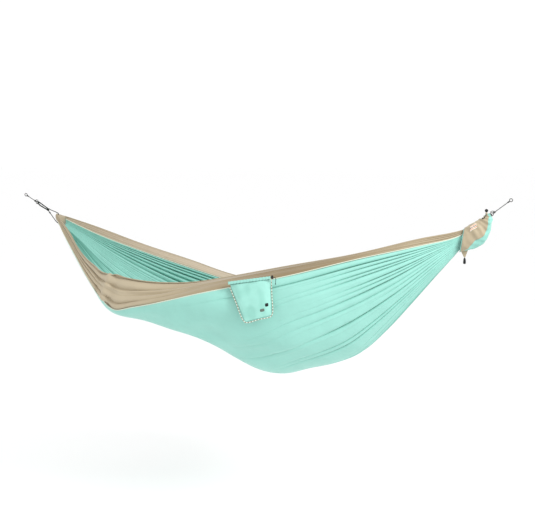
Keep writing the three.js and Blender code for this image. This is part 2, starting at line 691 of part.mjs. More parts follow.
// the patches on the sleeve: how far along it, how far off it, and between which angles
const PANEL = { along: [0.02, 0.9], lift: [1.2, 3] };
const BADGE_PATCH = { along: [0.17, 0.36], angles: [38, 68], lift: [3.4, 4.6] };
const BAG_POWER = 2.6;           // a superellipse a little fuller than an ellipse
const BAG_RUN = BAG_STATIONS.length - 1;

/** A point of the bag: f along it and the angle from its top ridge, towards the near side. */
function bagPoint(f, degrees) {
  const along = Math.min(f * BAG_RUN, BAG_RUN - 1e-6);
  const k = Math.floor(along);
  const [a, b] = [BAG_STATIONS[k], BAG_STATIONS[k + 1]];
  const mix = (key, axis) => lerp(a[key][axis], b[key][axis], along - k);
  const half = lerp(a.half, b.half, along - k);
  const [cos, sin] = [Math.cos(radians(degrees)), Math.sin(radians(degrees))];
  const rounded = value => Math.sign(value) * Math.abs(value) ** (2 / BAG_POWER);
  const height = (1 - rounded(cos)) / 2;
  return new THREE.Vector3(
    lerp(mix('top', 0), mix('bottom', 0), height),
    -half * rounded(sin),
    lerp(mix('top', 1), mix('bottom', 1), height));
}

function bagSurface(f, degrees, offset) {
  const step = 0.01;
  const along = bagPoint(Math.min(1, f + step), degrees).sub(bagPoint(Math.max(0, f - step), degrees));
  const around = bagPoint(f, degrees + 2).sub(bagPoint(f, degrees - 2));
  const normal = along.cross(around).normalize();
  const centre = bagPoint(f, 0).lerp(bagPoint(f, 180), 0.5);
  const point = bagPoint(f, degrees);
  if (normal.dot(point.clone().sub(centre)) < 0) normal.negate();
  return point.addScaledVector(normal, offset);
}

function bagBody() {
  const around = 20;
  const grid = offset => Array.from({ length: 2 * BAG_RUN + 1 }, (_, i) =>
    Array.from({ length: around }, (_, j) =>
      bagSurface(i / (2 * BAG_RUN), 360 * j / around, offset)));
  return shell(grid(0), grid(-BAG_WALL), true);
}

/** A patch of cloth laid on the bag, from one station and angle to another. */
function bagPatch({ along: [f0, f1], lift: [lower, upper] }, anglesAt, columns, rows) {
  const grid = offset => Array.from({ length: columns + 1 }, (_, i) => {
    const f = lerp(f0, f1, i / columns);
    const [start, end] = anglesAt(f);
    return Array.from({ length: rows + 1 }, (_, j) =>
      bagSurface(f, lerp(start, end, j / rows), offset));
  });
  return shell(grid(upper), grid(lower));
}

const TAB_FOOT = new THREE.Vector3(1160, -14, -192);

/** The tail of the bag, narrowing down to the loop that holds the toggle. */
function bagTab() {
  const corners = [[-22, 21], [18, 32], [5, 0], [-3, 0]].map(([x, z]) => new THREE.Vector2(x, z));
  const plate = new THREE.ExtrudeGeometry(new THREE.Shape(corners), { depth: 4, bevelEnabled: false });
  return plate.rotateX(Math.PI / 2).translate(TAB_FOOT.x, TAB_FOOT.y + 2, TAB_FOOT.z);
}

function toggleProfile() {
  return [[0, 0.9], [2, 2.2], [5, 4.8], [9, 5.4], [12, 6.6], [29, 7.4], [33, 6.6], [35.5, 3.6]];
}

function bagPieces() {
  const panelAngles = f => [-38, lerp(128, 80, THREE.MathUtils.smoothstep(f, 0, 0.22))];
  const cordRoute = [[0.86, 20], [0.8, 32], [0.74, 38], [0.66, 40], [0.6, 34]]
    .map(([f, angle]) => bagSurface(f, angle, 5.8));
  const toggle = piece('bag_toggle', turned(toggleProfile(), 12).rotateY(Math.PI / 2), BLACK_PLASTIC());
  toggle.position.copy(TAB_FOOT).add(new THREE.Vector3(1, 0, -1));
  const ball = new THREE.SphereGeometry(BALL_RADIUS, 14, 10);
  const top = bagSurface(0.86, 8, 2.6);
  const neck = turned([[0, 5.5], [4, 4.6], [8, 4.2]]).rotateY(-Math.PI / 2);
  return [
    piece('bag_body', bagBody(), MINT()),
    piece('bag_panel', bagPatch(PANEL, panelAngles, 14, 8), TAN()),
    piece('bag_badge', bagPatch(BADGE_PATCH, () => BADGE_PATCH.angles, 5, 4), BADGE()),
    piece('bag_drawcord', rod(cordRoute, BAG_CORD_RADIUS, 14), BLACK_CORD()),
    piece('bag_neck', neck.translate(top.x, top.y, top.z + 3), TAN()),
    piece('bag_ball', ball.translate(top.x, top.y, top.z + 20.6), BLACK_PLASTIC()),
    piece('bag_tab', bagTab(), TAN()),
    toggle,
  ];
}

// ---------------------------------------------------------------- assembly

const hammock = new THREE.Group();
const leftLine = suspension(LEFT);
const cloth = new THREE.Group();
cloth.add(leftLine, suspension(RIGHT), ...clothPieces(), pocketPieces(), ...bagPieces());
cloth.position.copy(leftLine.position).negate();
hammock.add(cloth);

export default hammock;
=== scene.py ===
"""Looks for the camping hammock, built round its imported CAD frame.

Metres, in the frame's own axes: +X from the left end to the right end, +Y away from the pocket
side, +Z up, with the origin at the centre of the left rope's eye.
"""
import math

import bpy
import numpy as np
from mathutils import Matrix, Vector


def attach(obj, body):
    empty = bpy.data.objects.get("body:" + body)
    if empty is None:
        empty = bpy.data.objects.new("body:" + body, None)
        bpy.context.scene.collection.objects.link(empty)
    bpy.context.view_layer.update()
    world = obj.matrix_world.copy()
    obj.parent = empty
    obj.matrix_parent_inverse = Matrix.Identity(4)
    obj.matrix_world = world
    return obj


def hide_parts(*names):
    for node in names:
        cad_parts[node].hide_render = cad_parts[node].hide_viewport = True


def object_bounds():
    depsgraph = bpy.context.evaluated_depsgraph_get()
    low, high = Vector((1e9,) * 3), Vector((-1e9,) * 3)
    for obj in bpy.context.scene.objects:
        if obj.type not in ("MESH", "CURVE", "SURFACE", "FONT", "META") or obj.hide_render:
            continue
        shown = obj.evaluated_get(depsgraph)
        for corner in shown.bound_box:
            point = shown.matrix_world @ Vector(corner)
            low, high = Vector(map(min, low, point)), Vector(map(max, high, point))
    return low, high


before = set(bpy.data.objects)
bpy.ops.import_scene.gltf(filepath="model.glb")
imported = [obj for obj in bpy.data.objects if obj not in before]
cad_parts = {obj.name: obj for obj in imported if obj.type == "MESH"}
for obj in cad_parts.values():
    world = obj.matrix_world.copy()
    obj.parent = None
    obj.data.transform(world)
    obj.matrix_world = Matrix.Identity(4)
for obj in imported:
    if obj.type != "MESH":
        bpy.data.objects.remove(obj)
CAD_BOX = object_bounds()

RANDOM = np.random.default_rng(7)
MM = 0.001

# ---------------- driving dimensions

LEFT_TIP = Vector((-1.250, 0, -0.004))     # in the cloth's frame, midway between the two ends
RIGHT_TIP = Vector((1.205, 0, -0.030))
LEFT_REACH, LEFT_SLOPE = 0.240, 31.0       # from the left tip out to the rope's eye
RIGHT_REACH, RIGHT_SLOPE = 0.238, 38.0
LEAN = np.array([-0.012, 0.048, -0.008])   # how far the belly hangs over to the far side

ORIGIN = LEFT_TIP + LEFT_REACH * Vector((
    -math.cos(math.radians(LEFT_SLOPE)), 0, math.sin(math.radians(LEFT_SLOPE))))

CLOTH_THICKNESS = 0.0008
CLEAR_OF_CLOTH = 0.0007                    # left under a trim piece that lies on the cloth
PANEL_START, PANEL_END = 0.0150, 0.9830    # fractions of the cloth's length
CENTRE_FLAT = (1.30, 3.05)                 # the panels as cut: width, length


# ---------------- numbers and curves

def smooth(low, high, value):
    """0 below low, 1 above high, and a smooth step between them."""
    x = np.clip((value - low) / (high - low), 0, 1)
    return x * x * (3 - 2 * x)


def linear(*rgb):
    """A colour given in display values of 0 to 255, as Blender's linear values."""
    return tuple((c / 255 / 12.92) if c <= 10 else ((c / 255 + 0.055) / 1.055) ** 2.4
                 for c in rgb) + (1.0,)


def curve_segments(points):
    """Centripetal Catmull-Rom coefficients through points[k, ...]: (4, k - 1, ..., 3)."""
    before = 2 * points[0] - points[1]
    after = 2 * points[-1] - points[-2]
    p = np.concatenate([before[None], points, after[None]])
    p0, p1, p2, p3 = p[:-3], p[1:-2], p[2:-1], p[3:]

    def knot(a, b):
        return np.sqrt(np.linalg.norm(b - a, axis=-1, keepdims=True))

    d0, d1, d2 = knot(p0, p1), knot(p1, p2), knot(p2, p3)
    start = ((p1 - p0) / d0 - (p2 - p0) / (d0 + d1) + (p2 - p1) / d1) * d1
    end = ((p2 - p1) / d1 - (p3 - p1) / (d1 + d2) + (p3 - p2) / d2) * d1
    return np.stack([p1, start, 3 * (p2 - p1) - 2 * start - end, 2 * (p1 - p2) + start + end])


def on_curve(coefficients, t, *more):
    """Points at parameters t, counted in segments; more picks one of several curves."""
    k = np.minimum(t.astype(int), coefficients.shape[1] - 1)
    w = (t - k)[..., None]
    a, b, c, d = coefficients[(slice(None), k, *more)]
    return a + w * (b + w * (c + w * d))


def along_curve(points, places):
    """Points of the curve at places from 0 to 1 along its length."""
    coefficients = curve_segments(np.asarray(points, float))
    fine = on_curve(coefficients, np.linspace(0, coefficients.shape[1], 1600))
    run = run_of(fine)
    return np.stack([np.interp(places * run[-1], run, fine[:, axis]) for axis in range(3)], -1)


def run_of(path):
    """The length of a path up to each of its points."""
    return np.concatenate([[0], np.cumsum(np.linalg.norm(np.diff(path, axis=0), axis=1))])


def shares(count):
    """Evenly spaced numbers from 0 to 1."""
    return np.linspace(0, 1, count)


# ---------------- meshes and pieces

def grid_faces(rows, columns, wrap=False):
    """Quads of a grid of points, rows by columns; wrap joins the last column to the first."""
    i = np.arange(rows - 1)[:, None]
    j = np.arange(columns if wrap else columns - 1)[None]
    j2 = (j + 1) % columns
    quads = np.stack([i * columns + j, (i + 1) * columns + j, (i + 1) * columns + j2,
                      i * columns + j2], -1)
    return quads.reshape(-1, 4)


def linked(name, data):
    """A new object in the scene."""
    made = bpy.data.objects.new(name, data)
    bpy.context.scene.collection.objects.link(made)
    return made


def new_piece(name, points, faces, material, body):
    """A smooth mesh piece that rides on a body."""
    mesh = bpy.data.meshes.new(name)
    faces = faces if isinstance(faces, list) else faces.tolist()
    mesh.from_pydata(np.asarray(points).reshape(-1, 3).tolist(), [], faces)
    mesh.polygons.foreach_set("use_smooth", np.ones(len(mesh.polygons), bool))
    mesh.materials.append(material)
    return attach(linked(name, mesh), body)


def set_uv(piece, name, uv):
    """Gives each face corner of a piece the UV of its vertex."""
    mesh = piece.data
    corners = np.zeros(len(mesh.loops), int)
    mesh.loops.foreach_get("vertex_index", corners)
    mesh.uv_layers.new(name=name).data.foreach_set("uv", uv.reshape(-1, 2)[corners].ravel())


def cloth_piece(name, grid, material, body="hammock", wrap=False, metric=None, crease_shade=None,
                thickness=CLOTH_THICKNESS):
    """Cloth from a grid of points, with metric UVs and how much painted shade each point gets in a
    crease.
    """
    rows, columns = grid.shape[:2]
    piece = new_piece(name, grid, grid_faces(rows, columns, wrap), material, body)
    if metric is not None:
        set_uv(piece, "cloth", metric)
    if crease_shade is not None:
        # the painted shade in the creases, which the material reads to darken the colour
        values = piece.data.attributes.new("crease_shade", "FLOAT", "POINT")
        values.data.foreach_set("value", crease_shade.ravel().astype(np.float32))
    layer = piece.modifiers.new("thickness", "SOLIDIFY")
    layer.thickness = thickness
    layer.offset = 0
    return piece


def tube_curve(name, points, radius, material):
    """A round cord along a smooth line through the points, as a curve of one open spline."""
    curve = bpy.data.curves.new(name, "CURVE")
    curve.dimensions = "3D"
    curve.bevel_depth = radius
    curve.bevel_resolution = 3
    curve.resolution_u = 1
    curve.use_fill_caps = True
    spline = curve.splines.new("POLY")
    spline.points.add(len(points) - 1)
    for slot, point in zip(spline.points, points):
        slot.co = (*point, 1)
    spline.use_smooth = True
    curve.materials.append(material)
    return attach(linked(name, curve), "hammock")


def transported(path):
    """Two directions across a path at each of its points, carried along it without twist."""
    tangent = np.gradient(path, axis=0)
    tangent /= np.linalg.norm(tangent, axis=1, keepdims=True)
    side = np.cross(tangent[0], (0.13, 0.97, 0.21))
    sides = []
    for along in tangent:
        side = side - along * side.dot(along)
        side = side / np.linalg.norm(side)
        sides.append(side)
    sides = np.array(sides)
    return sides, np.cross(tangent, sides)


def circle(count):
    """Angles once round, without the last one that would repeat the first."""
    return 2 * np.pi * np.arange(count) / count


def squared(value, power):
    """A sine or cosine pushed outwards, which squares up the circle that it draws."""
    return np.sign(value) * np.abs(value) ** power


def crossed(*values):
    """Arrays that broadcast against each other, stacked as coordinates of one grid."""
    return np.stack(np.broadcast_arrays(*values), -1)


def mesh_shares(rows, columns):
    """Two grids of numbers: rows, which change down the grid, and columns, across it."""
    return np.meshgrid(rows, columns, indexing="ij")


def seat_at(place, angle, axis="Y"):
    """The matrix of a seat at a place, turned about one of its axes."""
    return Matrix.Translation(place) @ Matrix.Rotation(angle, 4, axis)


def placed(seat, points):
    """Points of a seat's own frame moved to the row frame by its 4 by 4 matrix."""
    matrix = np.array(seat)
    return np.asarray(points, float) @ matrix[:3, :3].T + matrix[:3, 3]


def closed_loft(name, loops, material, body="hammock", uv=None):
    """A closed solid through loops[i, j] of points, with a cap on each end."""
    rows, columns = loops.shape[:2]
    points = np.concatenate([loops.reshape(-1, 3), loops[0].mean(0)[None], loops[-1].mean(0)[None]])
    faces = grid_faces(rows, columns, wrap=True).tolist()
    first, last = rows * columns, rows * columns + 1
    for j in range(columns):
        after = (j + 1) % columns
        faces.append([first, j, after])
        faces.append([last, (rows - 1) * columns + after, (rows - 1) * columns + j])
    piece = new_piece(name, points, faces, material, body)
    if uv is not None:
        ends = uv[0].mean(0)[None], uv[-1].mean(0)[None]
        set_uv(piece, "metric", np.concatenate([uv.reshape(-1, 2), *ends]))
    return piece


def laid(strands, angle):
    """How far a laid rope's surface is out at an angle round it, as a share of its radius."""
    return 0.93 + 0.1 * np.abs(np.cos(strands / 2 * angle))


def tube(name, path, radius, material, body="hammock", sides=16, strands=0, pitch=0.02):
    """A round tube along a path; strands give it the twisted ridges of a laid rope."""
    path = np.asarray(path, float)
    side, other = transported(path)
    run = run_of(path)
    angle = circle(sides)
    size = np.full((len(path), sides), float(radius))
    if strands:
        size *= laid(strands, angle[None] - 2 * np.pi * run[:, None] / pitch)
    across = np.cos(angle)[None, :, None] * side[:, None] \
        + np.sin(angle)[None, :, None] * other[:, None]
    return closed_loft(name, path[:, None] + size[..., None] * across, material, body,
                       crossed(run[:, None], angle[None] * radius))


def ring_tube(name, seat, radius, rod, material):
    """A closed ring of laid rope about the seat's Y axis, part of the suspension."""
    turns, angle = circle(72), circle(16)
    size = rod * laid(3, angle[None] - 4 * turns[:, None])
    out = radius + size * np.cos(angle)[None]
    points = np.stack([out * np.cos(turns)[:, None], size * np.sin(angle)[None],
                       out * np.sin(turns)[:, None]], -1)
    rows, columns = points.shape[:2]
    start = (rows - 1) * columns
    faces = np.concatenate([grid_faces(rows, columns, wrap=True), [
        [start + j, j, (j + 1) % columns, start + (j + 1) % columns] for j in range(columns)]])
    piece = new_piece(name, placed(seat, points), faces, material, "suspension")
    set_uv(piece, "metric", crossed(radius * turns[:, None], rod * angle[None]))
    return piece


def turned(name, profile, seat, material, body="hammock", sides=28, coil=0.0, depth=0.0):
    """A shape turned about the seat's X from a profile of (x, radius) in millimetres.

    coil is the rise of the thread or cord wound round it, and depth the height of its turns.
    """
    x, radius = np.array(profile, float).T * MM
    fine = np.linspace(x[0], x[-1], 40)
    size = np.interp(fine, x, radius)
    size = np.convolve(np.pad(size, 1, mode="edge"), [0.25, 0.5, 0.25], "valid")
    angle = circle(sides)
    r = np.broadcast_to(size[:, None], (len(fine), sides)).copy()
    if coil:
        r += depth * (np.abs(np.sin(np.pi * fine[:, None] / coil + angle[None] / 2)) - 0.6)
    loops = crossed(fine[:, None], r * np.cos(angle)[None], r * np.sin(angle)[None])
    uv = crossed(fine[:, None], angle[None] * radius.max())
    return closed_loft(name, placed(seat, loops), material, body, uv)


def wrinkles(points, size, seed, count=14):
    """Smooth numbers of about -1 to 1 that change over a distance of size."""
    random = np.random.default_rng(seed)
    total = np.zeros(points.shape[:-1])
    for _ in range(count):
        direction = random.normal(size=3)
        direction /= np.linalg.norm(direction)
        wave = 2 * np.pi / (size * random.uniform(1.2, 3.2))
        total += np.sin(points @ direction * wave + random.uniform(0, 2 * np.pi))
    return total / math.sqrt(count)


# ---------------- materials

THREADS = 1400           # per metre of cloth
BANDS = 3.2              # bands per metre of a wave texture of scale 1


class Look:
    """A material under construction, with short ways to add nodes to it."""

    def __init__(self, name, color, roughness, **more):
        self.material = bpy.data.materials.new(name)
        self.material.use_nodes = True
        self.tree = self.material.node_tree
        self.bsdf = self.tree.nodes["Principled BSDF"]
        self.color = color
        self.set(self.bsdf, Base_Color=color, Roughness=roughness, **more)

    def fill(self, slot, value):
        """Links a slot to another node's output, or sets its own value."""
        if isinstance(value, bpy.types.NodeSocket):
            self.tree.links.new(value, slot)
        else:
            slot.default_value = value

    def set(self, made, **settings):
        """Sets a node's slots, with _ for a space in their names, and its properties."""
        for key, value in settings.items():
            slot = made.inputs.get(key.replace("_", " "))
            if slot is None:
                setattr(made, key, value)
            else:
                self.fill(slot, value)

    def add(self, kind, output, **settings):
        """The named output of a new node."""
        made = self.tree.nodes.new("ShaderNode" + kind)
        self.set(made, **settings)
        return made.outputs[output]

    def math(self, operation, *values):
        made = self.tree.nodes.new("ShaderNodeMath")
        made.operation = operation
        for slot, value in zip(made.inputs, values):
            self.fill(slot, value)
        return made.outputs[0]

    def ramp(self, share, stops, interpolation="LINEAR"):
        """The colour at a share of a ramp, from stops of (position, colour)."""
        made = self.tree.nodes.new("ShaderNodeValToRGB")
        made.color_ramp.interpolation = interpolation
        elements = made.color_ramp.elements
        for index, (position, color) in enumerate(stops):
            stop = elements[index] if index < 2 else elements.new(position)
            stop.position, stop.color = position, color
        self.fill(made.inputs["Fac"], share)
        return made.outputs["Color"]

    def noise(self, where, scale, detail, **more):
        return self.add("TexNoise", "Fac", Vector=where, Scale=scale, Detail=detail, **more)

    def bands(self, where, per_metre, distortion, direction="X"):
        return self.add("TexWave", "Fac", wave_type="BANDS", bands_direction=direction,
                        Vector=where, Scale=per_metre / BANDS, Distortion=distortion)

    def bump(self, height, strength, distance, **more):
        return self.add("Bump", "Normal", Height=height, Strength=strength, Distance=distance,
                        **more)

    def vary(self, where, spread, scale, crease_shade=0.0):
        """A base colour that wanders a little, with painted shade down in the creases."""
        rgb = self.color[:3]
        result = self.ramp(self.noise(where, scale, 4.0), [
            (0.3, tuple(c * (1 - spread) for c in rgb) + (1,)),
            (0.7, tuple(min(1, c * (1 + spread)) for c in rgb) + (1,))])
        if crease_shade:
            # painted shade in the creases: the weaker a channel is, the more it darkens
            darkest = tuple(1 - crease_shade * (1.28 - 0.58 * c / max(rgb)) for c in rgb) + (1,)
            depth = self.add("Attribute", "Fac", attribute_name="crease_shade")
            result = self.add("MixRGB", "Color", blend_type="MULTIPLY", Fac=depth, Color1=result,
                              Color2=darkest)
        self.set(self.bsdf, Base_Color=result)

    def weave(self, where, depth, wrinkle=0.0):
        """The bump of a plain weave, over a soft crumple."""
        warp, weft = [self.bands(where, THREADS, 0.4, axis) for axis in "XY"]
        under = {}
        if wrinkle:
            crumple = self.noise(where, 30.0, 3.0, Roughness=0.55)
            under = dict(Normal=self.bump(crumple, 0.6, wrinkle))
        height = self.math("MULTIPLY", warp, weft)
        self.set(self.bsdf, Normal=self.bump(height, 0.35, depth, **under))


def nylon(name, color, metric=True, crease_shade=0.0, wrinkle=0.002):
    """Light parachute cloth: a fine plain weave with a soft sheen."""
    look = Look(name, color, 0.58, Sheen_Weight=0.25, Sheen_Roughness=0.4,
                Specular_IOR_Level=0.35)
    where = look.add("TexCoord", "UV" if metric else "Object")
    # painted shade darkens the colour down in the creases
    look.vary(where, 0.035, 9.0, crease_shade)
    look.weave(where, 0.00012, wrinkle)
    return look.material


def dashed(name, color, other, period):
    """Edge tape with a running stitch: color, with dashes of the other one along it."""
    look = Look(name, color, 0.7)
    where = look.add("TexCoord", "UV")
    along = look.add("SeparateXYZ", "X", Vector=where)
    part = look.math("FRACT", look.math("DIVIDE", along, period))
    stitch = look.math("GREATER_THAN", part, 0.52)
    look.set(look.bsdf, Base_Color=look.add("MixRGB", "Color", Fac=stitch, Color1=color,
                                            Color2=other))
    look.weave(where, 0.0002)
    return look.material


def braid(name, color, strands_per_metre):
    """Braided cord: two sets of slanting strands that cross, with a little grime."""
    look = Look(name, color, 0.72, Specular_IOR_Level=0.15)
    where = look.add("TexCoord", "UV")
    look.vary(where, 0.25, 260.0)
    strands = [look.bands(look.add("Mapping", "Vector", Vector=where, Rotation=(0, 0, slant)),
                          strands_per_metre, 0.3) for slant in (0.7, -0.7)]
    look.set(look.bsdf, Normal=look.bump(look.math("MAXIMUM", *strands), 0.8, 0.0006))
    return look.material


def worn(name, color, roughness, metallic, worn_color):
    """A hard finish with fine grain, blotchy gloss and paler worn patches."""
    look = Look(name, color, roughness, Metallic=metallic, Specular_IOR_Level=0.3)
    where = look.add("TexCoord", "Object")
    patches = look.noise(where, 180.0, 5.0)
    gloss = look.add("MapRange", "Result", Value=patches, To_Min=roughness * 0.75,
                     To_Max=min(1.0, roughness * 1.35))
    look.set(look.bsdf, Base_Color=look.ramp(patches, [(0.55, color), (0.72, worn_color)]),
             Roughness=gloss, Normal=look.bump(look.noise(where, 1400.0, 2.0), 0.3, 0.0002))
    return look.material


def striped_badge():
    """A plain woven badge: a pale ground with a dark stripe between two orange ones."""
    look = Look("badge_cloth", (0.8, 0.8, 0.8, 1), 0.65)
    across = look.add("SeparateXYZ", "Y", Vector=look.add("TexCoord", "UV"))
    ground, orange, dark = linear(226, 224, 214), linear(205, 122, 66), linear(46, 52, 56)
    stops, half = [(0, ground)], 0.08
    for middle, stripe in ((0.22, orange), (0.5, dark), (0.78, orange)):
        stops += [(middle - half, stripe), (middle + half, ground)]
    look.set(look.bsdf, Base_Color=look.ramp(across, stops, "CONSTANT"))
    look.weave(look.add("TexCoord", "Object"), 0.0002)
    return look.material


MINT = linear(144, 201, 189)
MINT_POUCH = linear(151, 209, 196)
MINT_BAG = linear(134, 190, 178)
TAN = linear(163, 150, 125)
# the near strip's tan, painted lighter than TAN, with painted shade over its right half
TAN_NEAR_PAINTED_LIGHTER = linear(182, 169, 144)
# the far strip's tan, painted lighter than TAN to lift the shade it lies in inside the hammock
TAN_FAR_PAINTED_LIGHTER = linear(181, 167, 145)
PIPING = linear(204, 212, 195)
ROPE_GREY = linear(92, 92, 90)
CORD_BLACK = linear(12, 21, 18)
STEEL_GREEN = linear(12, 24, 19)
PLASTIC_BLACK = linear(18, 20, 20)


# ---------------- the cloth's form

# Seven lines that run the length of the cloth, from gather to gather, in millimetres. The near
# corner stands out at the left, where the foot of the diagonal lay is, the far one at the right.
LINES_MM = {
    "near_hem": [
        (-1252, -7, 6), (-1114, -115, -95), (-1027, -190, -174), (-943, -262, -225),
        (-854, -335, -260), (-789, -385, -287), (-725, -415, -290), (-654, -430, -302),
        (-491, -420, -325), (-284, -340, -332), (-82, -250, -304), (227, -170, -246),
        (582, -100, -180), (922, -50, -95), (1110, -22, -57), (1206, -7, -27)],
    "near_seam": [
        (-1253, -13, -4), (-1179, -75, -94), (-1067, -175, -195), (-957, -275, -291),
        (-868, -350, -366), (-790, -410, -425), (-728, -448, -460), (-670, -475, -479),
        (-571, -495, -458), (-460, -500, -435), (-180, -480, -367), (-29, -430, -337),
        (263, -330, -279), (597, -210, -198), (926, -100, -128), (1114, -36, -84),
        (1206, -13, -35)],
    "near_side": [
        (-1252, -13, -22), (-1114, -100, -180), (-964, -205, -329), (-846, -290, -423),
        (-730, -375, -513), (-560, -395, -545), (-380, -395, -582), (-180, -375, -608),
        (60, -365, -640), (300, -330, -605), (560, -250, -500), (800, -160, -360),
        (1020, -75, -196), (1114, -36, -124), (1204, -13, -48)],
    "keel": [
        (-1249, 0, -38), (-1110, -40, -150), (-960, -90, -290), (-790, -150, -410),
        (-600, -190, -505), (-400, -190, -585), (-220, -160, -682), (-60, -120, -800),
        (70, -100, -864), (190, -90, -876), (330, -90, -838), (476, -90, -796), (610, -90, -731),
        (739, -75, -600), (865, -55, -453), (1000, -30, -300), (1112, -10, -177),
        (1202, 0, -61)],
    "far_side": [
        (-1251, 13, -22), (-1080, 60, -130), (-880, 130, -260), (-640, 210, -395),
        (-400, 290, -510), (-150, 360, -620), (100, 405, -695), (350, 410, -690),
        (600, 355, -600), (820, 240, -440), (1020, 95, -243), (1114, 36, -136), (1204, 13, -48)],
    "far_seam": [
        (-1253, 13, -4), (-1028, 86, -121), (-733, 190, -244), (-443, 290, -353),
        (-205, 370, -435), (69, 432, -488), (313, 462, -496), (530, 440, -460), (706, 372, -389),
        (883, 250, -281), (1040, 100, -169), (1114, 42, -98), (1206, 13, -35)],
    "far_hem": [
        (-1252, 7, 6), (-1060, 108, -72), (-794, 232, -189), (-516, 342, -294), (-304, 421, -378),
        (-62, 508, -445), (188, 562, -472), (419, 568, -447), (611, 497, -374), (793, 380, -283),
        (975, 195, -162), (1108, 39, -72), (1206, 7, -27)],
}
STRIPS = len(LINES_MM) - 1
NEAR_SEAM_T = 1 / STRIPS
FAR_SEAM_T = 1 - 1 / STRIPS


def row_frame(points):
    """Points of the cloth's frame moved to the row frame."""
    return np.asarray(points, float) - np.array(ORIGIN)


def leaning(points):
    """The lean that the belly takes up between the tips."""
    points = np.asarray(points, float)
    between = (points[..., 0] - LEFT_TIP.x) / (RIGHT_TIP.x - LEFT_TIP.x)
    return points + np.sin(np.pi * np.clip(between, 0, 1))[..., None] * LEAN


def cloth_form(u, t):
    """The smooth form at fractions u[i] of the length and t[i, j] of the way across."""
    lines = np.stack([along_curve(leaning(np.array(line) * MM), u) for line in LINES_MM.values()])
    return row_frame(on_curve(curve_segments(lines), t * STRIPS, np.arange(len(u))[:, None]))


def grid_normals(grid):
    """Unit normals of the cloth's grid, pointing out of the belly."""
    along = np.gradient(grid, axis=0)
    across = np.gradient(grid, axis=1)
    normal = np.cross(across, along)
    return normal / np.linalg.norm(normal, axis=-1, keepdims=True)


# ---------------- pleats

class Pleats:
    """Grooves that run out of the two gathers and fade towards the belly.

    Columns of the grid follow the grooves, so that each one is drawn sharply.
    """

    # places across one pleat, in shares of its width, closer together at the groove's bottom
    OFFSETS = np.array([0, 0.03, 0.065, 0.11, 0.18, 0.28, 0.4, 0.5, 0.6, 0.72, 0.82, 0.89, 0.935,
                        0.97])

    def __init__(self, start, end, count, spread):
        self.start, self.end, self.count = start, end, count
        self.places = [self.uneven(count, spread, u) for u in (0.24, 0.76)]

    def uneven(self, count, spread, u):
        """Section parameters of the pleats' edges, spread over the cloth's width at u."""
        widths = 1 + spread * RANDOM.uniform(-1, 1, count)
        edges = np.concatenate([[0], np.cumsum(widths)]) / widths.sum()
        t = np.linspace(self.start, self.end, 200)
        run = run_of(cloth_form(np.array([u]), t[None])[0])
        return np.interp(edges * run[-1], run, t)

    def columns(self, u):
        """Section parameters t[i, j], the groove each column belongs to and its place in it."""
        place = np.concatenate([np.tile(self.OFFSETS, self.count), [0]])
        cell = np.concatenate([np.repeat(np.arange(self.count), len(self.OFFSETS)),
                               [self.count - 1]])
        place[-1] = 1.0
        blend = smooth(0.35, 0.65, u)[:, None]
        edges = self.places[0] * (1 - blend) + self.places[1] * blend
        t = edges[:, cell] + (edges[:, cell + 1] - edges[:, cell]) * place
        return np.clip(t, self.start, self.end), cell, place


def pleated(u, pleats, reach, depth_share, deepest, outward, width, ripple=0.10):
    """A grid of cloth with its pleats pressed in, and how much painted shade each point gets in a
    crease.

    reach gives each groove's length from the left and from the right end, outward is +1 where
    its bottom stands out of the belly and -1 where it is pressed in, and width is the groove's
    share of its pleat.
    """
    t, cell, place = pleats.columns(u)
    grid = cloth_form(u, t)
    normal = grid_normals(grid)
    nearest = np.where(place > 0.5, cell + 1, cell)
    away = np.minimum(place, 1 - place)

    run = np.array([run_of(row) for row in grid])
    girth = run[:, -1:] / pleats.count

    left, right = reach
    fade = (1 - smooth(0.3, 1.0, u[:, None] / left[nearest])) \
        + (1 - smooth(0.3, 1.0, (1 - u[:, None]) / right[nearest]))
    depth = np.minimum(depth_share[nearest] * girth, deepest) * np.clip(fade, 0, 1)
    groove = np.exp(-(away / width[nearest]) ** 1.25)
    swell = ripple * girth * np.cos(np.pi * (1 - 2 * away)) * np.clip(fade, 0, 1)
    offset = outward[nearest] * (depth * groove - np.minimum(swell, 0.003))
    offset[:, 0] = offset[:, -1] = 0
    # painted shade in the grooves, darker in the deeper pleats
    shade = np.clip(depth_share / 0.6, 0.1, 1)[nearest]
    return grid + normal * offset[..., None], groove * shade * np.clip(fade, 0, 1), run


def soft_folds(grid, run, u, folds):
    """Broad soft folds: each is (fraction along, place across in metres, length, width, height)."""
    normal = grid_normals(grid)
    for along, across, length, width, height in folds:
        bump = np.exp(-((u[:, None] - along) / length) ** 2 - ((run - across) / width) ** 2)
        grid = grid + normal * (height * bump)[..., None]
    return grid


def cloth_rows(count):
    """Fractions of the length, closer together at the ends where the pleats run in."""
    x = np.linspace(-1, 1, count)
    x = np.sign(x) * (1 - (1 - np.abs(x)) ** 1.25)
    return PANEL_START + (PANEL_END - PANEL_START) * (x + 1) / 2


def cloth_panel(name, pleats, settings, material, replaces, folds=(), shade=(1.0, 0.0)):
    """One panel of the cloth. shade is how dark the painted shade in its pleats and over its right
    half is.
    """
    u = cloth_rows(230)
    grid, crease_shade, run = pleated(u, pleats, **settings)
    # painted shade over the panel's right half, easing off again towards the right end
    right_half_shade_mask = smooth(0.25, 0.65, u) - 0.6 * smooth(0.68, 0.92, u)
    crease_shade = np.clip(shade[0] * crease_shade + shade[1] * right_half_shade_mask[:, None], 0, 1)
    grid = soft_folds(grid, run, u, folds)
    piece = cloth_piece(name, grid, material, crease_shade=crease_shade,
                        metric=crossed(run, u[:, None] * CENTRE_FLAT[1]))
    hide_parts(replaces)
    return piece, grid


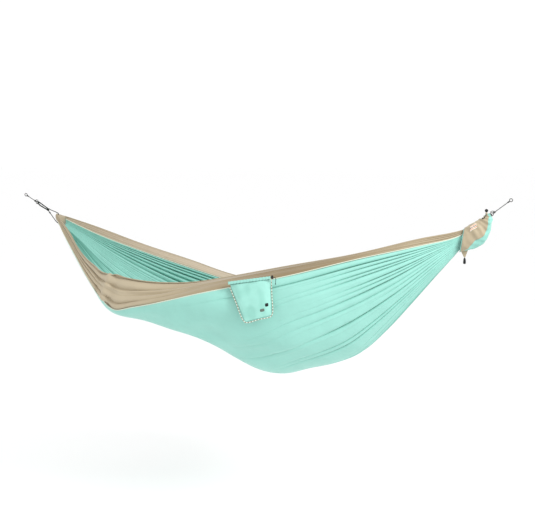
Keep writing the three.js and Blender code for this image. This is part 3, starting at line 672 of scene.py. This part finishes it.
# fraction along, metres across, length, width and height of each soft fold
BELLY_FOLDS = [
    (0.365, 0.11, 0.035, 0.07, -0.016), (0.455, 0.27, 0.045, 0.08, -0.020),
    (0.520, 0.42, 0.060, 0.07, -0.014), (0.600, 0.36, 0.055, 0.10, 0.020),
    (0.660, 0.16, 0.070, 0.08, 0.012),
]
NEAR_STRIP_FOLDS = [
    (0.262, 0.07, 0.0065, 0.20, 0.011), (0.281, 0.08, 0.010, 0.20, -0.007),
    (0.330, 0.045, 0.050, 0.012, 0.006), (0.350, 0.085, 0.060, 0.014, -0.006),
    (0.390, 0.120, 0.080, 0.014, 0.005), (0.235, 0.06, 0.008, 0.10, -0.004),
]


def centre_panel():
    count = 34
    pleats = Pleats(NEAR_SEAM_T, FAR_SEAM_T, count, 0.45)
    side = shares(count + 1)              # 0 on the near wall, 1 on the far one
    near = 1 - smooth(0.42, 0.58, side)
    left = (0.24 + 0.66 * (1 - near)) * RANDOM.uniform(0.75, 1.15, count + 1)
    right = (0.2 + 0.38 * RANDOM.random(count + 1)) * (1.15 - 0.5 * side)
    strong = 0.16 + 0.6 * RANDOM.random(count + 1) ** 1.2
    depth_share = np.where(near > 0.5, strong, RANDOM.uniform(0.3, 0.7, count + 1))
    return cloth_panel("centre_panel_cloth", pleats, dict(
        reach=(left, right), depth_share=depth_share, deepest=0.016,
        outward=np.where(near > 0.5, -1.0, 1.0), width=np.where(near > 0.5, 0.075, 0.12)),
        nylon("mint_nylon", MINT, crease_shade=0.64), "centre_panel", BELLY_FOLDS)


def side_panel(name, start, end, outward, color, replaces, folds=(), painted_right_shade=0.0):
    count = 4
    pleats = Pleats(start, end, count, 0.35)
    left = RANDOM.uniform(0.28, 0.6, count + 1)
    right = RANDOM.uniform(0.25, 0.45, count + 1)
    right[count // 2] = 0.85
    # the last value passed on is the painted shade over the strip's right half
    return cloth_panel(name, pleats, dict(
        reach=(left, right), depth_share=RANDOM.uniform(0.2, 0.5, count + 1), deepest=0.010,
        outward=np.full(count + 1, float(outward)), width=np.full(count + 1, 0.12),
        ripple=0.14),
        nylon("tan_nylon_" + name, color, crease_shade=0.75), replaces, folds, (0.48, painted_right_shade))


def edge_cord(name, grid, column, radius, material, replaces):
    """The hem or piping along one edge of a panel."""
    piece = tube_curve(name, grid[:, column], radius, material)
    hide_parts(replaces)
    return piece


def cloth():
    centre, _ = centre_panel()
    # the near strip: a painted lighter tan, with painted shade over its right half
    near, near_grid = side_panel("near_side_cloth", 0.0, NEAR_SEAM_T, -1, TAN_NEAR_PAINTED_LIGHTER,
                                 "near_side_panel", NEAR_STRIP_FOLDS, 0.95)
    far, far_grid = side_panel("far_side_cloth", FAR_SEAM_T, 1.0, 1, TAN_FAR_PAINTED_LIGHTER, "far_side_panel")
    piping = nylon("piping_tape", PIPING, metric=False, wrinkle=0)
    hem = nylon("hem_tape", TAN, metric=False, wrinkle=0)
    tapes = [
        edge_cord("near_piping", near_grid, -1, 0.0026, piping, "near_seam_piping"),
        edge_cord("far_piping", far_grid, 0, 0.0026, piping, "far_seam_piping"),
        edge_cord("near_hem_roll", near_grid, 0, 0.0030, hem, "near_hem"),
        edge_cord("far_hem_roll", far_grid, -1, 0.0030, hem, "far_hem"),
    ]


# ---------------- suspension lines
# Each line is built along its own +X, from the anchor's eye at 0 to the gather at its reach.

ROPE_RADIUS = 0.0022
TAIL_RADIUS = 0.0018
EYE_RADIUS = 0.008
LOOP_RADIUS = 0.0085
WHIPPING_LENGTH = 0.013
KNOT_LENGTH = 0.013
TOUCH = 0.00035              # left between neighbours
STOCK_RADIUS = 0.0038        # of the carabiner's steel
WIDE_RADIUS = 0.020          # of the carabiner's two ends
NARROW_RADIUS = 0.013
CARABINER_LENGTH = 0.084
CORD_RADIUS = 0.0022

# bar is where the carabiner's steel crosses the line, roll its turn about the line in degrees,
# and out the way along X in which the line leaves the cloth
LINES_OUT = {
    "left": dict(slope=LEFT_SLOPE, reach=LEFT_REACH, bar=0.091, roll=143, tip=LEFT_TIP, out=-1),
    "right": dict(slope=RIGHT_SLOPE, reach=RIGHT_REACH, bar=0.125, roll=0, tip=RIGHT_TIP, out=1),
}


def line_seat(side):
    """The frame of one line: its eye's centre, with +X down the line to the gather."""
    line = LINES_OUT[side]
    slope = math.radians(line["slope"])
    place = line["tip"] - ORIGIN + line["reach"] * Vector(
        (line["out"] * math.cos(slope), 0, math.sin(slope)))
    turn = slope if side == "left" else math.pi - slope
    return seat_at(place, turn)


def further(seat, distance, roll=0):
    """A seat moved along its X and then rolled about it, in degrees."""
    return seat @ seat_at((distance, 0, 0), math.radians(roll), "X")


def cord_hole(side):
    """The middle of the upright hole through a gather, in the row frame."""
    line = LINES_OUT[side]
    return line["tip"] - ORIGIN + Vector((-line["out"] * 0.010, 0, -0.012))


def rope_knot(side, seat, knot, rope):
    """The wound knot that closes the tied loop, and its short tail."""
    tied = turned(side + "_loop_knot",
                  [(0, 3), (1.5, 5), (4, 5.4), (6.5, 5.5), (10, 5.3), (12, 4.6), (13, 3.2)],
                  further(seat, knot), rope, "suspension", coil=0.0041, depth=0.0011)
    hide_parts(side + "_rope_knot")
    up = 1 if side == "left" else -1
    route = np.array([(8, 0, 3.5 * up), (7, -0.4, 6.8 * up), (9.5, -1.3, 10.2 * up),
                      (15, -3, 13 * up), (23, -4, 14 * up)]) * MM + (knot, 0, 0)
    path = placed(seat, along_curve(route, shares(40)))
    tail = tube(side + "_loop_tail", path, TAIL_RADIUS, rope, "suspension", strands=3, pitch=0.012)
    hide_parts(side + "_knot_tail")


def suspension(side):
    """The rope with its spliced eye and its tied loop, the end cord and the carabiner."""
    line = LINES_OUT[side]
    seat = line_seat(side)
    rope = braid("rope_" + side, ROPE_GREY, 900)
    cord = braid("cord_" + side, CORD_BLACK, 1100)
    thread = worn("thread_" + side, CORD_BLACK, 0.6, 0.0, linear(60, 66, 62))

    whipping = EYE_RADIUS + ROPE_RADIUS + TOUCH
    loop_at = line["bar"] - (LOOP_RADIUS - ROPE_RADIUS - STOCK_RADIUS - 0.0008)
    knot = loop_at - LOOP_RADIUS - ROPE_RADIUS - TOUCH - KNOT_LENGTH

    eye = ring_tube(side + "_eye_splice", seat, EYE_RADIUS, ROPE_RADIUS, rope)
    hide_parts(side + "_rope_eye")
    loop = ring_tube(side + "_tied_loop", further(seat, loop_at, line["roll"]), LOOP_RADIUS,
                     ROPE_RADIUS, rope)
    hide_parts(side + "_rope_loop")
    whip = turned(side + "_whipping_thread", [(0, 3.0), (1.2, 3.7), (11, 3.1), (13, 2.5)],
                  further(seat, whipping), thread, "suspension", coil=0.0011, depth=0.0003)
    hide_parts(side + "_eye_whipping")
    rope_knot(side, seat, knot, rope)

    ends = (knot - TOUCH, 0, 0), (whipping + WHIPPING_LENGTH + TOUCH, 0, 0)
    path = placed(seat, np.linspace(*ends, 60))
    shaft = tube(side + "_hanging_rope", path, ROPE_RADIUS, rope, "suspension", strands=3,
                 pitch=0.014)
    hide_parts(side + "_rope")
    end_cord(side, seat, cord)
    carabiner(side, seat)


def end_cord(side, seat, material):
    """The end cord: up out of the gather's channel, round the carabiner's narrow end and back."""
    line = LINES_OUT[side]
    hole = cord_hole(side)
    to_line = seat.inverted()
    turn = math.radians(line["roll"])
    bar = line["bar"] + CARABINER_LENGTH
    clear = STOCK_RADIUS + CORD_RADIUS + 0.0012

    def local(dx, z):
        return to_line @ Vector((hole.x - line["out"] * dx, 0, z))

    def round_bar(angle, out=0.0):
        return Vector((bar + out + clear * math.cos(angle),
                       -clear * math.sin(angle) * math.sin(turn),
                       clear * math.sin(angle) * math.cos(turn)))

    foot = local(-0.016, hole.z - 0.026)
    last_turn = round_bar(math.pi / 2, 0.007)
    direction = (foot - last_turn).normalized()
    knot_start = last_turn + direction * 0.005
    knot_end = knot_start + direction * 0.008
    route = [knot_end + direction * TOUCH, knot_end + direction * 0.004, foot,
             local(-0.007, hole.z - 0.033), local(0, hole.z - 0.025), to_line @ hole,
             local(0, hole.z + 0.020), local(-0.004, hole.z + 0.026),
             round_bar(-math.pi / 2, 0.009)]
    route += [round_bar(math.radians(degrees)) for degrees in (-90, -135, -180, -225, -270)]
    route += [last_turn, knot_start - direction * TOUCH]
    path = placed(seat, along_curve([tuple(p) for p in route], shares(200)))
    cord = tube(side + "_end_lacing", path, CORD_RADIUS, material, strands=4, pitch=0.018)
    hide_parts(side + "_end_cord")
    knot_seat = seat @ Matrix.Translation(knot_start) @ \
        Vector((1, 0, 0)).rotation_difference(direction).to_matrix().to_4x4()
    knot = turned(side + "_lacing_knot",
                  [(0, 2.4), (1.5, 4.2), (3.6, 4.5), (5.6, 4.5), (7.6, 4.1), (8, 2.4)],
                  knot_seat, material, coil=0.0036, depth=0.0009)
    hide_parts(side + "_cord_knot")


def gate_tang(side, seat, nose, end, steel):
    """The flat tang at the stock's end that the gate turns on."""
    across = end - nose
    pivot = nose + across * (1 - 0.005 / np.linalg.norm(across))
    gate = seat @ seat_at(pivot, math.atan2(across[1], across[0]), "Z")
    stations = np.linspace(-0.0022, 0.0064, 9)
    shrink = 1 - 0.35 * np.abs(np.linspace(-1, 1, 9)) ** 6
    corner = circle(24)
    half_width, half_depth = 0.0025, 0.0012
    loops = crossed(stations[:, None],
                    half_width * shrink[:, None] * squared(np.cos(corner), 0.4),
                    half_depth * shrink[:, None] * squared(np.sin(corner), 0.4))
    return closed_loft(side + "_gate_tang", placed(gate, loops), steel)


def carabiner(side, seat):
    """The forged body, in its own XY plane, with its tang."""
    line = LINES_OUT[side]
    own = further(seat, line["bar"], line["roll"])

    def arc(centre, radius, start, end, count):
        angle = np.radians(np.linspace(start, end, count + 1))
        return [(centre + radius * math.cos(a), radius * math.sin(a), 0) for a in angle]

    nose, end = np.array((0.024, 0.0194, 0)), np.array((0.068, 0.0134, 0))
    route = [tuple(nose)] + arc(WIDE_RADIUS, WIDE_RADIUS, 92, 268, 10) + [(0.045, -0.017, 0)] \
        + arc(CARABINER_LENGTH - NARROW_RADIUS, NARROW_RADIUS, -92, 86, 8) + [tuple(end)]
    steel = worn("coated_steel_" + side, STEEL_GREEN, 0.42, 0.2, linear(58, 70, 64))
    path = placed(own, along_curve(route, shares(170)))
    body = tube(side + "_forged_body", path, STOCK_RADIUS, steel, sides=20)
    tang = gate_tang(side, own, nose, end, steel)
    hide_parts(side + "_carabiner_body")


# ---------------- the gathers

def gather(side):
    """The bunched end of the cloth: a fluted wrap sewn round the pleats."""
    start, end = (0.0, 0.0180) if side == "left" else (1.0, 0.9800)
    u = np.linspace(start, end, 26)
    across = shares(150)
    shell = cloth_form(np.sort(u), np.broadcast_to(across, (len(u), len(across))))
    if side == "right":
        shell = shell[::-1]
    top = shell[:, -1:] + (shell[:, :1] - shell[:, -1:]) * shares(26)[None, 1:-1, None]
    loops = np.concatenate([shell, top], axis=1)
    centre = loops.mean(1, keepdims=True)
    outward = loops - centre
    outward /= np.linalg.norm(outward, axis=-1, keepdims=True)
    turns = circle(loops.shape[1])
    along = shares(len(u))[:, None]
    flutes = np.abs(np.sin(15 * turns[None] + 1.3 * np.sin(3 * turns)[None] + 0.8 * along)) ** 0.7
    swell = 0.0008 + 0.0016 * flutes * (0.5 + 0.5 * along) + 0.0004 * np.sin(9 * along)
    pinch = 1 - 0.10 * np.exp(-((along - 0.16) / 0.10) ** 2)
    loops = centre + (loops - centre) * pinch[..., None] + outward * swell[..., None]
    piece = closed_loft(side + "_gather_wrap", loops,
                        nylon("gather_nylon_" + side, TAN, wrinkle=0.0008),
                        uv=crossed(turns[None] * 0.02, along * 0.1))
    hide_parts(side + "_gather")


# ---------------- the pocket
# Built flat in its own frame: X along the hinge seam at its top, Z up, -Y outward.

POCKET_OUTLINE = np.array([(0, 0), (0.231, 0), (0.212, -0.208), (0.061, -0.226)])
POCKET_CLOTH = (0.24, 0.23)       # what the weave's coordinates span
POCKET_DEPTH = 0.015
POCKET_MARGIN = 0.006
CHANNEL_HEIGHT = 0.015
CHANNEL_START = 0.003
CHANNEL_LENGTH = POCKET_OUTLINE[1][0] - 2 * CHANNEL_START
CHANNEL_MIDDLE = (-POCKET_DEPTH - 0.004, -0.001 - CHANNEL_HEIGHT / 2)      # y and z


def pocket_seat():
    """The pocket's frame, from three points of the cloth's frame in millimetres."""
    left, right, foot = [Vector(row_frame(leaning(np.array(p) * MM)))
                         for p in ((-39, -452, -305), (185, -404, -274), (58, -474, -517))]
    across = (right - left).normalized()
    inward = across.cross(foot - left).normalized()
    up = across.cross(inward)
    turn = Matrix((across, inward, up)).transposed().to_4x4()
    return Matrix.Translation(left) @ turn


def pocket_point(u, v, margin=0.0):
    """Points of the flat outline: u across it, and v down from the mouth."""
    top_left, top_right, foot_right, foot_left = POCKET_OUTLINE
    left = top_left + (foot_left - top_left) * v[..., None]
    right = top_right + (foot_right - top_right) * v[..., None]
    x = left[..., 0] + margin + (right[..., 0] - left[..., 0] - 2 * margin) * u
    z = left[..., 1] + (right[..., 1] - left[..., 1]) * u + margin * v
    return np.stack([x, np.zeros_like(x), z], -1)


def pocket_front(u, v, stand_off=0.0):
    """The puffed front, with slack folds that run down from the mouth and up from the foot."""
    across = 1 - np.abs(2 * u - 1) ** 3
    down = 1 - np.maximum(0, (v - 0.45) / 0.55) ** 2.5
    point = pocket_point(u, v, POCKET_MARGIN)
    swell = 0.0012 + (POCKET_DEPTH - 0.0012) * across * down
    inside = np.clip(8 * np.minimum.reduce([u, 1 - u, 1.02 - v]), 0, 1)
    stretched = point * (1, 1, 0.45)
    slack = 0.0012 * wrinkles(stretched, 0.05, 5) + 0.0008 * wrinkles(point, 0.016, 6)
    drape = 0.003 * np.sin(2 * np.pi * (1.5 * u + 0.4 * v)) * (1 - v)
    point[..., 1] = -swell - stand_off - inside * (slack + drape)
    return point


def pocket_leaf(name, seat, points, u, v, material, replaced, crease_shade=None):
    """The front or the back cloth of the pocket."""
    leaf = cloth_piece(name, placed(seat, points), material, "pocket", crease_shade=crease_shade,
                       metric=np.stack([u * POCKET_CLOTH[0], v * POCKET_CLOTH[1]], -1))
    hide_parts(replaced)


def pocket_leaves(seat, cloth, plain):
    v, u = mesh_shares(np.linspace(0.083, 1, 90), shares(100))
    points = pocket_front(u, v)
    # painted shade in soft folds across the pocket's front
    fold_shade = np.clip(-wrinkles(points * (1, 1, 0.45), 0.034, 5), 0, 1) * 0.5
    pocket_leaf("pocket_front_cloth", seat, points, u, v, cloth, "pocket_front",
                fold_shade)
    v, u = mesh_shares(shares(30), shares(30))
    points = pocket_point(u, v, POCKET_MARGIN) + (0, 0.001, 0)
    pocket_leaf("pocket_back_cloth", seat, points, u, v, plain, "pocket_back")


def pocket_edge(seat):
    """The stitched tape down both sides and along the foot."""
    corners = [(0, 0.1), (0, 0.5), (0, 0.93), (0.07, 1), (0.5, 1), (0.93, 1), (1, 0.93), (1, 0.5),
               (1, 0.1)]
    route = pocket_point(*np.array(corners, float).T, -0.001)
    tape = dashed("stitched_tape", linear(150, 130, 106), linear(222, 228, 216), 0.016)
    edge = tube("pocket_edge_tape", placed(seat, along_curve(route, shares(200))),
                0.0021, tape, "pocket", sides=10)
    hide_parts("pocket_piping")


def pocket_mouth(seat, plain):
    """The ruffled channel of the drawcord, and the web that joins it to the seam."""
    x = np.linspace(CHANNEL_START, CHANNEL_START + CHANNEL_LENGTH, 120)[:, None]
    angle = circle(32)
    ruffle = 0.0009 * np.sin(x * 2 * np.pi / 0.017) + 0.0006 * np.sin(x * 2 * np.pi / 0.0071 + 1)
    y, z = CHANNEL_MIDDLE
    loops = crossed(x, y + (0.003 + ruffle * 0.6) * squared(np.cos(angle), 0.6),
                    z + (CHANNEL_HEIGHT / 2 + ruffle) * squared(np.sin(angle), 0.6))
    channel = closed_loft("pocket_cord_channel", placed(seat, loops), plain, "pocket")
    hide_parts("pocket_channel")
    v, u = mesh_shares(shares(8), shares(60))
    points = np.stack([CHANNEL_START + CHANNEL_LENGTH * u, -0.0004 - (POCKET_DEPTH + 0.001) * v,
                       -0.002 + 0.0005 * np.sin(40 * u)], -1)
    web = cloth_piece("pocket_mouth_web", placed(seat, points), plain, "pocket")


def pocket_drawcord(seat):
    """The drawcord: through its channel and the lock, and down to a knot."""
    lock = np.array((POCKET_OUTLINE[1][0] + 0.007, *CHANNEL_MIDDLE))
    route = lock + np.array([(-204, 0, 0), (-130, 0, 0), (-60, 0, 0), (0, 0, 0), (9, 0, 0),
                             (16, -1, -5), (17, -2, -14), (14, -2, -26), (12, -2, -38)]) * MM
    path = placed(seat, along_curve(route, shares(160)))
    black = braid("pocket_cord_braid", CORD_BLACK, 1300)
    cord = tube("pocket_lacing", path, 0.0013, black, "pocket", sides=12, strands=4, pitch=0.01)
    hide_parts("pocket_drawcord")
    knot_seat = seat @ seat_at(Vector(route[-1]) + Vector((0, 0, 0.0045)), math.pi / 2)
    knot = turned("pocket_lacing_knot", [(0, 1.2), (1, 2.6), (3, 2.9), (5, 2.6), (6, 1.2)],
                  knot_seat, black, "pocket", coil=0.003, depth=0.0006)


def pocket_patch(name, seat, centre, size, material, replaced):
    """A flat trim piece laid on the pocket's front, with rounded corners."""
    u0, v0 = centre
    angle = circle(40)
    x, y = squared(np.cos(angle), 0.45), squared(np.sin(angle), 0.45)
    profile = [(0.02, 0.0), (0.9, 0.0), (1.0, 0.0004), (0.9, 0.0009), (0.02, 0.0010)]
    loops = [pocket_front(u0 + x * scale * size[0] / 2, v0 + y * scale * size[1] / 2,
                          CLEAR_OF_CLOTH + lift) for scale, lift in profile]
    uv = np.array([np.stack([x, y], -1) * 0.01] * len(profile))
    patch = closed_loft(name, placed(seat, np.array(loops)), material, "pocket", uv)
    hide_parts(replaced)


def pocket():
    seat = pocket_seat()
    cloth = nylon("pocket_nylon", MINT_POUCH, crease_shade=0.3, wrinkle=0.0008)
    plain = nylon("pocket_tape", MINT, metric=False, wrinkle=0.0)
    pocket_leaves(seat, cloth, plain)
    pocket_edge(seat)
    pocket_mouth(seat, plain)
    pocket_drawcord(seat)
    plastic = worn("moulded_black", PLASTIC_BLACK, 0.42, 0.0, linear(44, 46, 46))
    pocket_patch("pocket_round_stud", seat, (0.87, 0.72), (0.105, 0.085), plastic, "pocket_stud")
    tape = nylon("label_tape", linear(96, 108, 100), metric=False, wrinkle=0)
    pocket_patch("pocket_plain_label", seat, (0.70, 0.83), (0.15, 0.07), tape, "pocket_label")


# ---------------- the sleeve bag

BAG_STATIONS = np.array([   # x and z of the top, x and z of the bottom, half the width
    (1152, -40, 1132, -168, 46), (1178, -22, 1174, -157, 48), (1206, -2, 1222, -138, 46),
    (1230, 10, 1262, -115, 42), (1246, 19, 1280, -79, 37), (1257, 30, 1293, -39, 35),
    (1268, 39, 1298, -5, 33), (1284, 47, 1301, 18, 28)]) * MM
BAG_ROUNDNESS = 2 / 2.6
BAG_SPAN = (0.25, 0.33)           # the bag's length and girth
TAB_FOOT = np.array((1160, -14, -192)) * MM


def bag_surface(f, degrees, offset=0.0):
    """Points of the limp sleeve: f along it, the angle from its top ridge to the near side."""
    coefficients = curve_segments(BAG_STATIONS)
    station = on_curve(coefficients, f * coefficients.shape[1])
    angle = np.radians(degrees)
    cos, sin = squared(np.cos(angle), BAG_ROUNDNESS), squared(np.sin(angle), BAG_ROUNDNESS)
    height = (1 - cos) / 2
    x = station[..., 0] + (station[..., 2] - station[..., 0]) * height
    z = station[..., 1] + (station[..., 3] - station[..., 1]) * height
    point = np.stack([x, -station[..., 4] * sin, z], -1)
    middle = np.stack([(station[..., 0] + station[..., 2]) / 2, np.zeros_like(x),
                       (station[..., 1] + station[..., 3]) / 2], -1)
    outward = point - middle
    outward /= np.linalg.norm(outward, axis=-1, keepdims=True)
    slanted = 2 * np.pi * (1.3 * f - 1.5 * degrees / 360)
    folds = 0.0022 * np.sin(slanted * 2) + 0.0014 * np.sin(slanted * 5 + 3 * f) \
        + 0.0012 * wrinkles(point, 0.022, 11)
    folds = folds * np.clip(4 * np.minimum(f + 0.12, 1.12 - f), 0, 1)
    return row_frame(point + outward * (folds - 0.0012 + offset)[..., None])


def bag_metric(f, degrees):
    return np.stack([f * BAG_SPAN[0], degrees / 360 * BAG_SPAN[1]], -1)


def bag_cloth(mint, tan):
    """The mint sleeve, the tan panel that winds round it and the striped badge."""
    f, degrees = mesh_shares(shares(80), np.arange(0, 360, 3.0))
    sleeve = cloth_piece("bag_sleeve", bag_surface(f, degrees), mint, wrap=True,
                         metric=bag_metric(f, degrees), thickness=0.001)
    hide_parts("bag_body")

    f, share = mesh_shares(np.linspace(0.02, 0.9, 70), shares(60))
    start = -38
    end = 158 - 52 * smooth(0.02, 0.3, f) - 26 * smooth(0.55, 0.9, f)
    degrees = start + (end - start) * share
    panel = cloth_piece("bag_tan_patch", bag_surface(f, degrees, 0.0018), tan,
                        metric=bag_metric(f, degrees))
    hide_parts("bag_panel")

    low, high = 0.18, 0.34
    f, share = mesh_shares(np.linspace(low, high, 16), shares(16))
    badge = cloth_piece("bag_striped_badge", bag_surface(f, 40 + 26 * share, 0.0032),
                        striped_badge(),
                        metric=np.stack([(f - low) / (high - low), share], -1))
    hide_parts("bag_badge")


def bag_drawcord():
    """The drawcord's free end, which lies on the bag and ends in a knot."""
    places = np.array([(0.86, 20), (0.8, 32), (0.74, 38), (0.66, 40), (0.6, 34)], float)
    path = along_curve(bag_surface(*places.T, 0.0055), shares(80))
    black = braid("bag_cord_braid", CORD_BLACK, 1200)
    cord = tube("bag_lacing", path, 0.0016, black, sides=12, strands=4, pitch=0.012)
    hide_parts("bag_drawcord")
    knot = turned("bag_lacing_knot", [(-3, 1.4), (-2, 3), (0, 3.4), (2, 3), (3, 1.4)],
                  Matrix.Translation(path[-1]), black, coil=0.003, depth=0.0006)


def bag_ball(tan, plastic_color):
    """The gathered neck at the bag's ridge and the ball above it."""
    top = Vector(bag_surface(np.array([0.86]), np.array([8.0]), 0.0026)[0])
    neck = turned("bag_gathered_neck", [(0, 5.5), (4, 4.6), (8, 4.2)],
                  seat_at(top + Vector((0, 0, 0.003)), -math.pi / 2), tan, coil=0.003,
                  depth=0.0005)
    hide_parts("bag_neck")
    radius = 9
    profile = [(radius + radius * math.sin(a), max(0.3, radius * math.cos(a)))
               for a in np.linspace(-math.pi / 2, math.pi / 2, 21)]
    plastic = worn("ball_black", PLASTIC_BLACK, 0.38, 0.0, plastic_color)
    ball = turned("bag_end_ball", profile,
                  seat_at(top + Vector((0, 0, 0.0116)), -math.pi / 2), plastic)
    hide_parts("bag_ball")
    return plastic


def bag_tab(tan):
    """The folded tab that narrows down to the toggle's cord."""
    height = shares(30)
    angle = circle(32)
    left = np.interp(height, (0, 1), (-0.003, -0.022))
    right = np.interp(height, (0, 1), (0.005, 0.018))
    top_edge = np.interp(height, (0, 1), (0.0, 0.040))
    half = (right - left) / 2
    x = ((left + right) / 2)[:, None] + half[:, None] * np.cos(angle)
    y = (0.0019 + 0.0003 * np.sin(6 * angle))[None] * squared(np.sin(angle), 0.5)
    z = top_edge[:, None] + 0.06 * (x - x.mean(1, keepdims=True))
    tab = closed_loft("bag_folded_tab", row_frame(crossed(x, y, z) + TAB_FOOT), tan)
    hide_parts("bag_tab")


def bag_toggle(plastic):
    down = seat_at(Vector(row_frame(TAB_FOOT)) + Vector((0.001, 0, -0.001)), math.pi / 2)
    toggle = turned("bag_moulded_toggle",
                    [(0, 0.9), (2, 2.2), (5, 4.8), (9, 5.4), (12, 6.6), (29, 7.4), (33, 6.6),
                     (35.5, 3.6)], down, plastic, "toggle")
    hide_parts("bag_toggle")


def bag():
    mint = nylon("bag_mint_nylon", MINT_BAG, crease_shade=0.3, wrinkle=0.001)
    tan = nylon("bag_tan_nylon", TAN, crease_shade=0.3, wrinkle=0.001)
    bag_cloth(mint, tan)
    bag_drawcord()
    plastic = bag_ball(tan, linear(48, 50, 50))
    bag_tab(tan)
    bag_toggle(plastic)


# ---------------- CAD pieces that stay

def hardware():
    steel = worn("gate_steel", STEEL_GREEN, 0.4, 0.25, linear(62, 74, 68))
    plastic = worn("lock_plastic", PLASTIC_BLACK, 0.42, 0.0, linear(46, 48, 48))
    finishes = {side + part: steel for side in ("left_gate", "right_gate")
                for part in ("", "_pin", "_spring")}
    finishes.update(pocket_lock_spring=steel, pocket_lock_body=plastic,
                    pocket_lock_button=plastic)
    for name, material in finishes.items():
        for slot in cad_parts[name].material_slots:
            slot.material = material


# ---------------- camera, light and floor

AIM = Vector((1.5207, 0, -0.3156))
CAMERA_TURN, CAMERA_RISE, CAMERA_DISTANCE = math.radians(14), math.radians(6.1), 4.75
CAMERA_LENS = 55.96
FLOOR_DROP = 0.9                  # from the hammock's lowest point down to the floor
FLOOR_REACH = 400.0


def camera():
    lens = bpy.data.cameras.new("camera")
    lens.lens = CAMERA_LENS
    lens.sensor_width = 36
    seat = linked("camera", lens)
    back = Vector((math.sin(CAMERA_TURN) * math.cos(CAMERA_RISE),
                   -math.cos(CAMERA_TURN) * math.cos(CAMERA_RISE), math.sin(CAMERA_RISE)))
    seat.location = AIM + back * CAMERA_DISTANCE
    seat.rotation_euler = (-back).to_track_quat("-Z", "Y").to_euler()
    bpy.context.scene.camera = seat


def white_room():
    world = bpy.data.worlds.new("studio")
    world.use_nodes = True
    background = world.node_tree.nodes["Background"]
    background.inputs["Color"].default_value = (1, 1, 1, 1)
    background.inputs["Strength"].default_value = 1.03
    bpy.context.scene.world = world
    bpy.context.scene.view_settings.view_transform = "Standard"


def soft_light(name, place, power):
    light = bpy.data.lights.new(name, "AREA")
    light.shape = "DISK"
    light.size = 1.4
    light.energy = power
    lamp = linked(name, light)
    lamp.location = place
    lamp.rotation_euler = (Vector(place) - AIM).to_track_quat("Z", "Y").to_euler()


def paper_floor():
    mesh = bpy.data.meshes.new("floor")
    level = CAD_BOX[0].z - FLOOR_DROP
    corners = [(-1, -1), (1, -1), (1, 1), (-1, 1)]
    mesh.from_pydata([(x * FLOOR_REACH, y * FLOOR_REACH, level) for x, y in corners], [],
                     [(0, 1, 2, 3)])
    mesh.materials.append(Look("floor_paper", (0.97, 0.97, 0.97, 1), 0.9).material)
    linked("floor", mesh)


def studio():
    camera()
    white_room()
    soft_light("key", (4.3, -1.3, 1.7), 86)
    soft_light("fill", (-2.4, -1.6, 0.5), 9)
    paper_floor()


studio()
suspension("left")
suspension("right")
cloth()
gather("left")
gather("right")
pocket()
bag()
hardware()
